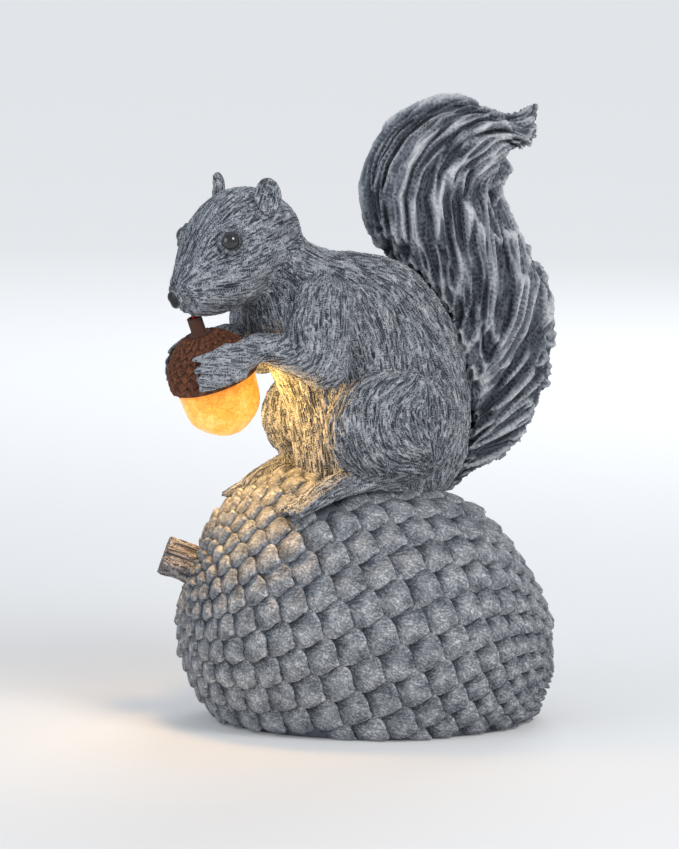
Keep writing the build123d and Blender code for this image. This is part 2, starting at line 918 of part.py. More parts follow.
# Seat of the solar panel in the rear flank of the base
panel_out = BASE.y_dir * cos(radians(panel_turn)) - BASE.z_dir * sin(radians(panel_turn))
panel_middle = BASE.origin + BASE.x_dir * panel_station
panel_middle += panel_out * (base_radius - panel_seat_drop)
PANEL = Plane(origin=panel_middle, x_dir=BASE.x_dir, z_dir=panel_out)
pocket_length = panel_length + 2 * seal_width
pocket_width = panel_width + 2 * seal_width
with BuildPart() as seat_block:
    with BuildSketch(PANEL):
        Rectangle(pocket_length + 2 * panel_rim, pocket_width + 2 * panel_rim)
    extrude(amount=-panel_seat_depth)
with BuildPart() as seat_clearing:
    with BuildSketch(PANEL):
        Rectangle(pocket_length + 2 * panel_rim, pocket_width + 2 * panel_rim)
    extrude(amount=panel_seat_depth)

# Shell of the base, open underneath in an oval mouth
plate_bottom = plate_recess
plate_top = plate_bottom + plate_thickness
boss_places = [
    (
        mouth_center + (mouth_length / 2 - plate_boss_inset) * cos(radians(turn)),
        (mouth_width / 2 - plate_boss_inset) * sin(radians(turn)),
    )
    for turn in plate_screw_turns
]
shell_hollow = split(base_hollow, bisect_by=Plane.XY.offset(floor_thickness), keep=Keep.TOP)
with BuildPart() as base_shell:
    add(base_core)
    add(shell_hollow, mode=Mode.SUBTRACT)
    split(bisect_by=Plane.XY, keep=Keep.TOP)
    add(seat_block.part)
    add(seat_clearing.part, mode=Mode.SUBTRACT)
    with BuildSketch(PANEL):
        Rectangle(pocket_length, pocket_width)
    extrude(amount=-panel_thickness, mode=Mode.SUBTRACT)
    with BuildSketch(PANEL):
        Circle(panel_port_radius)
    extrude(amount=-(panel_seat_depth + overrun), mode=Mode.SUBTRACT)
    with BuildSketch(Plane.XY):
        with Locations((mouth_center, 0)):
            Ellipse(mouth_length / 2, mouth_width / 2)
    extrude(amount=floor_thickness, mode=Mode.SUBTRACT)
    with BuildSketch(Plane.XY.offset(plate_top)):
        with Locations(boss_places):
            Circle(plate_boss_radius)
    extrude(amount=plate_boss_height)
    with BuildSketch(Plane.XY.offset(plate_top)):
        with Locations(boss_places):
            Circle(screw_radius)
    extrude(amount=screw_length - plate_thickness, mode=Mode.SUBTRACT)
    with BuildSketch(Plane(origin=figure_point(0, 0, -torso_depth / 2), z_dir=(0, 0, 1))):
        Circle(wire_port_radius)
    extrude(amount=torso_depth, mode=Mode.SUBTRACT)
    with BuildSketch(STEM.offset(-shell_wall)):
        Circle(spigot_radius + spigot_clearance)
    extrude(amount=shell_wall + stem_root, mode=Mode.SUBTRACT)
save(base_shell.part, "base_shell")

# Scales of the base
base_rows = ring_rows(
    base_curve, scale_count, scale_first_run, scale_last_radius, scale_pitch_share,
    scale_pitch_floor,
)
base_tiles = scale_rings(
    BASE, base_core, base_curve, base_rows, scale_count,
    scale_gap, scale_sink, scale_root_lift, scale_tip_lift,
)


body_middle = figure_point(body_clearing_middle, 0, -torso_depth / 2)
with BuildPart() as body_footprint:
    with BuildSketch(Plane(origin=body_middle, x_dir=FACING.x_dir, z_dir=(0, 0, 1))):
        Ellipse(body_clearing_length / 2, body_clearing_width / 2)
    extrude(amount=torso_depth)
with BuildPart() as panel_footprint:
    add([seat_block.part, seat_clearing.part])
with BuildPart() as stem_footprint:
    with BuildSketch(STEM):
        Circle(stem_radius + scale_gap)
    extrude(amount=stem_reach)
base_scales = trimmed_scales(
    base_tiles,
    scale_rim_clearance,
    [body_footprint.part, *foot_footprints, panel_footprint.part, stem_footprint.part],
)
print("scales", len(base_scales))
save(Compound(base_scales), "base_scales")

# Solar panel and the bead of sealant round it
with BuildPart() as solar_panel:
    with BuildSketch(PANEL.offset(-panel_thickness)):
        Rectangle(panel_length, panel_width)
    extrude(amount=panel_thickness)
save(solar_panel.part, "solar_panel")

with BuildPart() as panel_seal:
    with BuildSketch(PANEL.offset(-panel_thickness)):
        Rectangle(pocket_length, pocket_width)
        Rectangle(panel_length, panel_width, mode=Mode.SUBTRACT)
    extrude(amount=panel_thickness)
save(panel_seal.part, "panel_seal")

# Battery box and door, in the underside plate
door_top = plate_bottom + door_thickness
inner_length = battery_length + battery_nub_length + spring_length + 2 * contact_thickness
inner_width = 2 * (battery_radius + battery_side_clearance)
battery_up = door_top + battery_side_clearance + battery_radius
box_ceiling = battery_up + battery_radius + battery_side_clearance
box_top = box_ceiling + box_wall
box_left = box_center - inner_length / 2
box_right = box_center + inner_length / 2
hinge_x = box_left + door_hinge_radius
hinge_up = plate_bottom + door_thickness / 2
door_width = inner_width + 2 * (door_ledge - door_clearance)
door_end = box_right + door_tongue
tongue_x = box_right + box_wall + door_boss_radius
recess_left = hinge_x - door_hinge_radius - door_clearance
tab_places = [box_left + contact_thickness / 2, box_right - contact_thickness / 2]
tab_width = contact_width / 2

# Slot for the switch's knob
switch_x = board_center - board_length / 4
switch_y = board_across - board_width / 5
slot_length = slider_length + slider_travel + 2 * slider_clearance
slot_width = slider_width + 2 * slider_clearance

standoff_places = [
    (board_center + along * (board_length / 2 - board_hole_inset),
     board_across + across * (board_width / 2 - board_hole_inset))
    for along, across in ((-1, -1), (1, 1), (-1, 1), (1, -1))
]
board_screw_places = standoff_places[:2]

with BuildPart() as base_plate:
    with BuildSketch(Plane.XY.offset(plate_bottom)):
        with Locations((mouth_center, 0)):
            Ellipse(mouth_length / 2 - plate_clearance, mouth_width / 2 - plate_clearance)
    extrude(amount=plate_thickness)
    with BuildSketch(Plane.XY.offset(plate_top)):
        with Locations((box_center, box_across)):
            Rectangle(inner_length + 2 * box_wall, inner_width + 2 * box_wall)
    extrude(amount=box_top - plate_top)
    with BuildSketch(Plane.XY.offset(plate_top)):
        with Locations((tongue_x, box_across)):
            Circle(door_boss_radius)
    extrude(amount=door_boss_height)
    with BuildSketch(Plane.XY.offset(plate_top)):
        with Locations(standoff_places):
            Circle(standoff_radius)
    extrude(amount=board_standoff)
    with BuildSketch(Plane.XY.offset(plate_bottom)):
        with Locations((box_center, box_across)):
            Rectangle(inner_length, inner_width)
    extrude(amount=box_ceiling - plate_bottom, mode=Mode.SUBTRACT)
    with BuildSketch(Plane.XY.offset(plate_bottom)):
        with Locations(((recess_left + door_end + door_clearance) / 2, box_across)):
            Rectangle(door_end + door_clearance - recess_left, door_width + 2 * door_clearance)
    extrude(amount=door_thickness + door_clearance / 2, mode=Mode.SUBTRACT)
    with BuildSketch(Plane(origin=(hinge_x, box_across, hinge_up), z_dir=(0, 1, 0))):
        Circle(door_hinge_radius + door_pin_clearance)
    pin_reach = door_width / 2 + door_pin_length + door_clearance
    extrude(amount=pin_reach, both=True, mode=Mode.SUBTRACT)
    with BuildSketch(Plane.XY.offset(plate_bottom)):
        with Locations((tongue_x, box_across)):
            Circle(door_screw_radius + door_screw_clearance)
    extrude(amount=plate_thickness + door_boss_height, mode=Mode.SUBTRACT)
    with BuildSketch(Plane.XY.offset(plate_bottom)):
        with Locations(boss_places):
            Circle(screw_radius + screw_hole_clearance)
    extrude(amount=plate_thickness, mode=Mode.SUBTRACT)
    with BuildSketch(Plane.XY.offset(plate_bottom)):
        with Locations((switch_x, switch_y)):
            Rectangle(slot_length, slot_width)
    extrude(amount=plate_thickness, mode=Mode.SUBTRACT)
    with BuildSketch(Plane.XY.offset(box_ceiling)):
        with Locations([(place, box_across) for place in tab_places]):
            Rectangle(contact_thickness, tab_width)
    extrude(amount=box_wall, mode=Mode.SUBTRACT)
    with BuildSketch(Plane.XY.offset(plate_top + board_standoff)):
        with Locations(board_screw_places):
            Circle(board_screw_radius)
    extrude(amount=-(board_screw_length - board_thickness), mode=Mode.SUBTRACT)
save(base_plate.part, "base_plate")

with BuildPart() as battery_door:
    with BuildSketch(Plane.XY.offset(plate_bottom)):
        with Locations(((hinge_x + door_end) / 2, box_across)):
            Rectangle(door_end - hinge_x, door_width)
    extrude(amount=door_thickness)
    with BuildSketch(Plane(origin=(hinge_x, box_across, hinge_up), z_dir=(0, 1, 0))):
        Circle(door_hinge_radius)
    extrude(amount=door_width / 2 + door_pin_length, both=True)
    with BuildSketch(Plane.XY.offset(plate_bottom)):
        with Locations((tongue_x, box_across)):
            Circle(door_screw_radius)
    extrude(amount=door_thickness, mode=Mode.SUBTRACT)
    with BuildSketch(Plane.XY.offset(plate_bottom)):
        with Locations((tongue_x, box_across)):
            Circle(door_screw_head_radius)
    extrude(amount=door_screw_head_height, mode=Mode.SUBTRACT)
save(battery_door.part, "battery_door")

door_screw_plane = Plane(
    origin=(tongue_x, box_across, plate_bottom + door_screw_head_height), z_dir=(0, 0, 1)
)
door_screw = crossed_screw(
    door_screw_plane, door_screw_radius, door_screw_length,
    door_screw_head_radius, door_screw_head_height,
)
save(door_screw, "door_screw")

plate_screws = [
    crossed_screw(
        Plane(origin=(x, y, plate_bottom), z_dir=(0, 0, 1)),
        screw_radius, screw_length, screw_head_radius, screw_head_height,
    )
    for x, y in boss_places
]
save(Compound(plate_screws), "plate_screws")

# Battery, its contacts and spring
battery_left = box_left + contact_thickness + spring_length
battery_plane = Plane(
    origin=(battery_left, box_across, battery_up), x_dir=(0, 1, 0), z_dir=(1, 0, 0)
)
with BuildPart() as battery:
    with BuildSketch(battery_plane):
        Circle(battery_radius)
    extrude(amount=battery_length)
    with BuildSketch(battery_plane.offset(battery_length)):
        Circle(battery_nub_radius)
    extrude(amount=battery_nub_length)
save(battery.part, "battery")

contact_low = door_top + battery_side_clearance
contacts = []
for place in tab_places:
    with BuildPart() as contact:
        with BuildSketch(Plane.XY.offset(contact_low)):
            with Locations((place, box_across)):
                Rectangle(contact_thickness, contact_width)
        extrude(amount=box_ceiling - contact_low)
        with BuildSketch(Plane.XY.offset(box_ceiling)):
            with Locations((place, box_across)):
                Rectangle(contact_thickness, tab_width)
        extrude(amount=contact_tab_height)
    contacts.append(contact.part)
save(Compound(contacts), "battery_contacts")

spring_plane = Plane(
    origin=battery_plane.origin - battery_plane.z_dir * spring_length,
    x_dir=battery_plane.z_dir,
    z_dir=Plane.XZ.z_dir,
)
spring_outer = [
    (0, spring_reach),
    (spring_length, spring_nose),
    (spring_length, -spring_nose),
    (0, -spring_reach),
]
spring_inner = [
    (0, spring_foot - spring_reach),
    (spring_length - spring_leaf, spring_leaf - spring_nose),
    (spring_length - spring_leaf, spring_nose - spring_leaf),
    (0, spring_reach - spring_foot),
]
with BuildPart() as battery_spring:
    with BuildSketch(spring_plane):
        with BuildLine():
            Polyline(spring_outer + spring_inner, close=True)
        make_face()
    extrude(amount=spring_width / 2, both=True)
save(battery_spring.part, "battery_spring")

# Circuit board on its standoffs, with its parts and the switch under it
with BuildPart() as circuit_board:
    with BuildSketch(Plane.XY.offset(board_floor)):
        with Locations((board_center, board_across)):
            Rectangle(board_length, board_width)
        with Locations(board_screw_places):
            Circle(board_screw_radius + screw_hole_clearance, mode=Mode.SUBTRACT)
    extrude(amount=board_thickness)
save(circuit_board.part, "circuit_board")

board_screws = [
    crossed_screw(
        Plane(origin=(x, y, board_top), x_dir=(1, 0, 0), z_dir=(0, 0, -1)),
        board_screw_radius, board_screw_length, board_screw_head_radius, board_screw_head_height,
    )
    for x, y in board_screw_places
]
save(Compound(board_screws), "board_screws")

board_parts = []
with BuildPart() as chip:
    with BuildSketch(Plane.XY.offset(board_top)):
        with Locations((board_center, board_across)):
            Rectangle(chip_length, chip_width)
    extrude(amount=chip_height)
board_parts.append(chip.part)
coil_place = (board_center - board_length / 8, board_across - board_width / 3, board_top)
with BuildPart() as choke:
    with Locations(coil_place):
        Cylinder(
            coil_radius, coil_length, rotation=(0, 90, 0), align=(Align.MAX, Align.CENTER, Align.CENTER)
        )
board_parts.append(choke.part)
can_place = (board_center + board_length / 5, board_across + board_width / 3)
with BuildPart() as can:
    with BuildSketch(Plane.XY.offset(board_top)):
        with Locations(can_place):
            Circle(can_radius)
    extrude(amount=can_height)
board_parts.append(can.part)
for place in socket_places:
    with BuildPart() as socket:
        with BuildSketch(Plane.XY.offset(board_top)):
            with Locations(place):
                Rectangle(socket_length, socket_width)
        extrude(amount=socket_height)
    board_parts.append(socket.part)
save(Compound(board_parts), "board_components")

switch_floor = board_floor - switch_height
with BuildPart() as switch_body:
    with BuildSketch(Plane.XY.offset(switch_floor)):
        with Locations((switch_x, switch_y)):
            Rectangle(switch_length, switch_width)
    extrude(amount=switch_height)
    with BuildSketch(Plane.XY.offset(switch_floor)):
        with Locations((switch_x, switch_y)):
            Rectangle(slot_length, slot_width)
    extrude(amount=switch_pocket_depth, mode=Mode.SUBTRACT)
save(switch_body.part, "switch_body")

knob_low = plate_bottom - slider_below_plate
knob_high = plate_bottom - slider_clearance
with BuildPart() as switch_slider:
    with BuildSketch(Plane.XY.offset(knob_low)):
        with Locations((switch_x - slider_travel / 2, switch_y)):
            Rectangle(slider_length, slider_width)
    extrude(amount=switch_floor + switch_pocket_depth - slider_clearance - knob_low)
    with BuildSketch(Plane.XY.offset(knob_low)):
        with Locations((switch_x - slider_travel / 2, switch_y)):
            Rectangle(slider_knob_length, slider_knob_length)
    extrude(amount=knob_high - knob_low)
save(switch_slider.part, "switch_slider")

# Wires from the battery contacts and the panel to the board
panel_socket, plus_socket, minus_socket = socket_places[1:]
tab_top = box_ceiling + contact_tab_height
wire_lift = socket_height * 1.5
battery_leads = []
for place, socket_place in zip(tab_places, (minus_socket, plus_socket)):
    x, y = socket_place
    route = [
        (place, box_across, tab_top),
        (place, box_across, tab_top + wire_lift),
        (x, y, tab_top + wire_lift),
        (x, y, socket_top),
    ]
    battery_leads.append(tube(route, wire_radius))
save(Compound(battery_leads), "battery_wires")

panel_back = PANEL.origin - PANEL.z_dir * panel_thickness
panel_route = [
    panel_back,
    PANEL.origin - PANEL.z_dir * (panel_seat_depth + 3 * wire_lift),
    Vector(panel_socket[0], panel_socket[1], tab_top + 3 * wire_lift),
    Vector(panel_socket[0], panel_socket[1], socket_top),
]
print("panel wire radii", [round(radius, 1) for radius in bend_radii(panel_route)])
with BuildPart() as panel_wire:
    add(tube(panel_route, wire_radius))
save(panel_wire.part, "panel_wire")
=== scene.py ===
"""Dresses the squirrel figurine: carved fur, combed tail, craggy scales, glowing nut, studio and camera."""

from __future__ import annotations

import logging
import math
from dataclasses import dataclass, field
from enum import Enum
from typing import Callable

import bmesh
import bpy
import numpy as np
from mathutils import Matrix, Vector
from mathutils.bvhtree import BVHTree

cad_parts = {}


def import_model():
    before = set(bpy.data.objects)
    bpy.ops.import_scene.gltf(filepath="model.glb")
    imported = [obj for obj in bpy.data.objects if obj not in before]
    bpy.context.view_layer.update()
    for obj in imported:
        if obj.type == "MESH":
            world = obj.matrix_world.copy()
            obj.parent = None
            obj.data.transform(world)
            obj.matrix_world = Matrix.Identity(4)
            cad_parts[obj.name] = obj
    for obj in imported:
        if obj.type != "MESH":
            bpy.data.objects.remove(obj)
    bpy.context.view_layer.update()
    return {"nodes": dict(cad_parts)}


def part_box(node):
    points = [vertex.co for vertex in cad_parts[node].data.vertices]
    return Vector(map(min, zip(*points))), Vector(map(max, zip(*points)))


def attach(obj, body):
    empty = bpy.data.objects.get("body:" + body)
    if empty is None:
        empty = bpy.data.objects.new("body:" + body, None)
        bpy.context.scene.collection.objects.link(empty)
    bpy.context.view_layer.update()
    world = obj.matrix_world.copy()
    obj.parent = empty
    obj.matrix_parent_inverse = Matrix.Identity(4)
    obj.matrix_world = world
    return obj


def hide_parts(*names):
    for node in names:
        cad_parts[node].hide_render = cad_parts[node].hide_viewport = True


LOG = logging.getLogger("squirrel")
MM = 0.001
COLOR_INPUTS = (6, 7)
COLOR_OUTPUT = 2
Array = np.ndarray
Color = tuple[float, float, float]


class Coat(Enum):
    """The parts of the animal that share one carved skin."""

    TORSO = "torso"
    HEAD = "head"
    ARM_NEAR = "arm_left"
    ARM_FAR = "arm_right"
    LEG_NEAR = "leg_left"
    LEG_FAR = "leg_right"


class Field(Enum):
    """Names of the point attributes that the finishes read."""

    RELIEF = "relief"
    # Black paint on the nose, and painted shade in the groove round each eye.
    DARK = "dark"
    FLOW = "flow"
    PLACE = "place"


@dataclass(frozen=True)
class Pose:
    """The squirrel's own directions: along points from its nose to its rump."""

    turn: float = math.radians(27)
    seat: float = 96 * MM

    def point(self, along: float, across: float, up: float) -> Vector:
        """Gives the place of a point in millimetres from the seat.

        Args:
            along: Distance toward the rump.
            across: Distance to the squirrel's right, away from the camera.
            up: Height over the seat.

        Returns:
            The place in the model's frame, in metres.
        """
        cos, sin = math.cos(self.turn), math.sin(self.turn)
        x = along * cos - across * sin
        y = along * sin + across * cos
        return Vector((x * MM, y * MM, self.seat + up * MM))

    def own(self, points: Array) -> Array:
        """Turns places in metres into along, across and up in millimetres."""
        cos, sin = math.cos(self.turn), math.sin(self.turn)
        along = points[:, 0] * cos + points[:, 1] * sin
        across = points[:, 1] * cos - points[:, 0] * sin
        return np.stack([along, across, points[:, 2] - self.seat], axis=1) / MM

    def outer(self, directions: Array) -> Array:
        """Turns directions along, across and up into the model's frame."""
        cos, sin = math.cos(self.turn), math.sin(self.turn)
        x = directions[:, 0] * cos - directions[:, 1] * sin
        y = directions[:, 0] * sin + directions[:, 1] * cos
        return np.stack([x, y, directions[:, 2]], axis=1)


POSE = Pose()


def unit(vectors: Array) -> Array:
    """Scales each row of an array to length one."""
    return vectors / np.maximum(np.linalg.norm(vectors, axis=1, keepdims=True), 1e-9)


def ramp(values: Array, low: float, high: float) -> Array:
    """Rises smoothly from 0 at low to 1 at high."""
    share = np.clip((values - low) / (high - low), 0, 1)
    return share * share * (3 - 2 * share)


@dataclass
class Grain:
    """Seeded lattice noise, and the strokes that it makes when drawn along a flow."""

    seed: int
    table: Array = field(init=False)

    def __post_init__(self) -> None:
        """Fills the noise table."""
        self.table = np.random.default_rng(self.seed).uniform(-1, 1, 1 << 16)

    def sample(self, points: Array, cell: float) -> Array:
        """Reads the noise at points.

        Args:
            points: Places, one a row.
            cell: Size of the noise, in the same unit.

        Returns:
            One value from -1 to 1 for each point.
        """
        spread = points / cell
        corner = np.floor(spread).astype(np.int64)
        share = spread - corner
        share = share * share * (3 - 2 * share)
        total = np.zeros(len(points))
        for x in (0, 1):
            for y in (0, 1):
                for z in (0, 1):
                    mixed = (corner[:, 0] + x) * 73856093 ^ (corner[:, 1] + y) * 19349663
                    mixed = (mixed ^ (corner[:, 2] + z) * 83492791) & 0xFFFF
                    weight = np.abs(1 - x - share[:, 0]) * np.abs(1 - y - share[:, 1])
                    total += self.table[mixed] * weight * np.abs(1 - z - share[:, 2])
        return total

    def strokes(self, points: Array, flow: Callable[[Array], Array], width: float, length: float) -> Array:
        """Averages the noise along the flow, so that it turns into long thin strokes.

        Args:
            points: Places, one a row.
            flow: Gives the unit direction at places.
            width: Width of a stroke.
            length: Length of a stroke.

        Returns:
            One value for each point, with a spread of one.
        """
        steps = max(2, round(length / width))
        total = self.sample(points, width)
        for sign in (1, -1):
            place = points
            for step in range(1, steps + 1):
                place = place + sign * flow(place) * (length / 2 / steps)
                total = total + self.sample(place, width) * (1 - step / (steps + 1))
        return total / total.std()


def ridges(strokes: Array, sharpness: float = 1.1) -> Array:
    """Turns strokes into narrow crests, 1 on the crest and 0 in the groove."""
    return 1 - np.clip(np.abs(strokes) * sharpness, 0, 1)


def positions(mesh: bpy.types.Mesh) -> Array:
    """Reads a mesh's points as an array."""
    flat = np.empty(len(mesh.vertices) * 3)
    mesh.vertices.foreach_get("co", flat)
    return flat.reshape(-1, 3)


def normals(mesh: bpy.types.Mesh) -> Array:
    """Reads a mesh's point normals as an array."""
    flat = np.empty(len(mesh.vertices) * 3)
    mesh.vertex_normals.foreach_get("vector", flat)
    return flat.reshape(-1, 3)


def edge_pairs(mesh: bpy.types.Mesh) -> Array:
    """Reads a mesh's edges as pairs of point numbers."""
    flat = np.empty(len(mesh.edges) * 2, dtype=np.int64)
    mesh.edges.foreach_get("vertices", flat)
    return flat.reshape(-1, 2)


def place_points(mesh: bpy.types.Mesh, points: Array) -> None:
    """Moves a mesh's points."""
    mesh.vertices.foreach_set("co", points.astype(np.float32).ravel())
    mesh.update()


def store(mesh: bpy.types.Mesh, name: str, values: Array) -> None:
    """Stores one number or vector for each point as a named attribute."""
    kind, key = ("FLOAT", "value") if values.ndim == 1 else ("FLOAT_VECTOR", "vector")
    layer = mesh.attributes.get(name) or mesh.attributes.new(name, kind, "POINT")
    layer.data.foreach_set(key, values.astype(np.float32).ravel())


def read(mesh: bpy.types.Mesh, name: str) -> Array:
    """Reads a named attribute of single numbers."""
    values = np.empty(len(mesh.vertices), dtype=np.float32)
    mesh.attributes[name].data.foreach_get("value", values)
    return values.astype(float)


def relaxed(values: Array, pairs: Array, rounds: int, strength: Array | float = 1.0) -> Array:
    """Averages each point's values with its neighbours'.

    Args:
        values: One row for each point.
        pairs: The mesh's edges.
        rounds: How often.
        strength: Share of the change that is taken, for all points or each.

    Returns:
        The smoothed values.
    """
    count = len(values)
    share = strength[:, None] if isinstance(strength, np.ndarray) else strength
    degree = np.bincount(pairs.ravel(), minlength=count)[:, None]
    for _ in range(rounds):
        total = np.stack(
            [
                np.bincount(pairs[:, 0], column[pairs[:, 1]], count)
                + np.bincount(pairs[:, 1], column[pairs[:, 0]], count)
                for column in values.T
            ],
            axis=1,
        )
        values = values + (total / np.maximum(degree, 1) - values) * share
    return values


def fresh_object(name: str, form: bmesh.types.BMesh) -> bpy.types.Object:
    """Turns a bmesh into an object at the origin, with smooth faces.

    Args:
        name: Name of the piece.
        form: The bmesh, which is freed.

    Returns:
        The new object.
    """
    mesh = bpy.data.meshes.new(name)
    form.to_mesh(mesh)
    form.free()
    piece = bpy.data.objects.new(name, mesh)
    bpy.context.scene.collection.objects.link(piece)
    mesh.polygons.foreach_set("use_smooth", [True] * len(mesh.polygons))
    return piece


def bake_modifiers(piece: bpy.types.Object) -> None:
    """Replaces a piece's mesh by what its modifiers make of it."""
    graph = bpy.context.evaluated_depsgraph_get()
    mesh = bpy.data.meshes.new_from_object(piece.evaluated_get(graph))
    piece.modifiers.clear()
    piece.data = mesh
    mesh.polygons.foreach_set("use_smooth", [True] * len(mesh.polygons))


def remeshed(name: str, form: bmesh.types.BMesh, voxel: float, levels: int) -> bpy.types.Object:
    """Makes one even skin of overlapping closed forms.

    Args:
        name: Name of the piece.
        form: The forms, freed here.
        voxel: Size of the faces in millimetres, before they are subdivided.
        levels: How often the faces are subdivided.

    Returns:
        The piece.
    """
    piece = fresh_object(name, form)
    remesh = piece.modifiers.new("skin", "REMESH")
    remesh.mode = "VOXEL"
    remesh.voxel_size = voxel * MM
    bake_modifiers(piece)
    keep_largest(piece.data)
    if levels:
        subdivide(piece, levels)
    return piece


def subdivide(piece: bpy.types.Object, levels: int) -> None:
    """Divides a piece's faces smoothly."""
    modifier = piece.modifiers.new("finer", "SUBSURF")
    modifier.levels = levels
    modifier.render_levels = levels
    bake_modifiers(piece)


def islands(form: bmesh.types.BMesh) -> list[list[bmesh.types.BMVert]]:
    """Sorts a form's points into groups that hang together."""
    form.verts.index_update()
    seen = [False] * len(form.verts)
    groups = []
    for start in form.verts:
        if seen[start.index]:
            continue
        seen[start.index] = True
        group = [start]
        for vert in group:
            for edge in vert.link_edges:
                other = edge.other_vert(vert)
                if not seen[other.index]:
                    seen[other.index] = True
                    group.append(other)
        groups.append(group)
    return groups


def keep_largest(mesh: bpy.types.Mesh) -> None:
    """Deletes every loose bit of a mesh but its largest."""
    form = bmesh.new()
    form.from_mesh(mesh)
    groups = sorted(islands(form), key=len)
    crumbs = [vert for group in groups[:-1] for vert in group]
    bmesh.ops.delete(form, geom=crumbs, context="VERTS")
    form.to_mesh(mesh)
    form.free()


def merged(*nodes: bpy.types.Object) -> bmesh.types.BMesh:
    """Copies CAD nodes into one bmesh, with their doubled points merged."""
    form = bmesh.new()
    for node in nodes:
        form.from_mesh(node.data)
    bmesh.ops.remove_doubles(form, verts=form.verts, dist=0.001 * MM)
    return form


def ball(form: bmesh.types.BMesh, center: Vector, turn: Matrix, radii: Vector) -> None:
    """Adds an egg-shaped filling to a form.

    Args:
        form: The form to add to.
        center: Its middle.
        turn: Its own directions.
        radii: Its half sizes along them.
    """
    matrix = Matrix.Translation(center) @ turn.to_4x4() @ Matrix.Diagonal(radii).to_4x4()
    bmesh.ops.create_icosphere(form, subdivisions=3, radius=1, matrix=matrix)


def tree_of(node: bpy.types.Object) -> BVHTree:
    """Makes a search tree of a node's faces."""
    form = merged(node)
    tree = BVHTree.FromBMesh(form)
    form.free()
    return tree


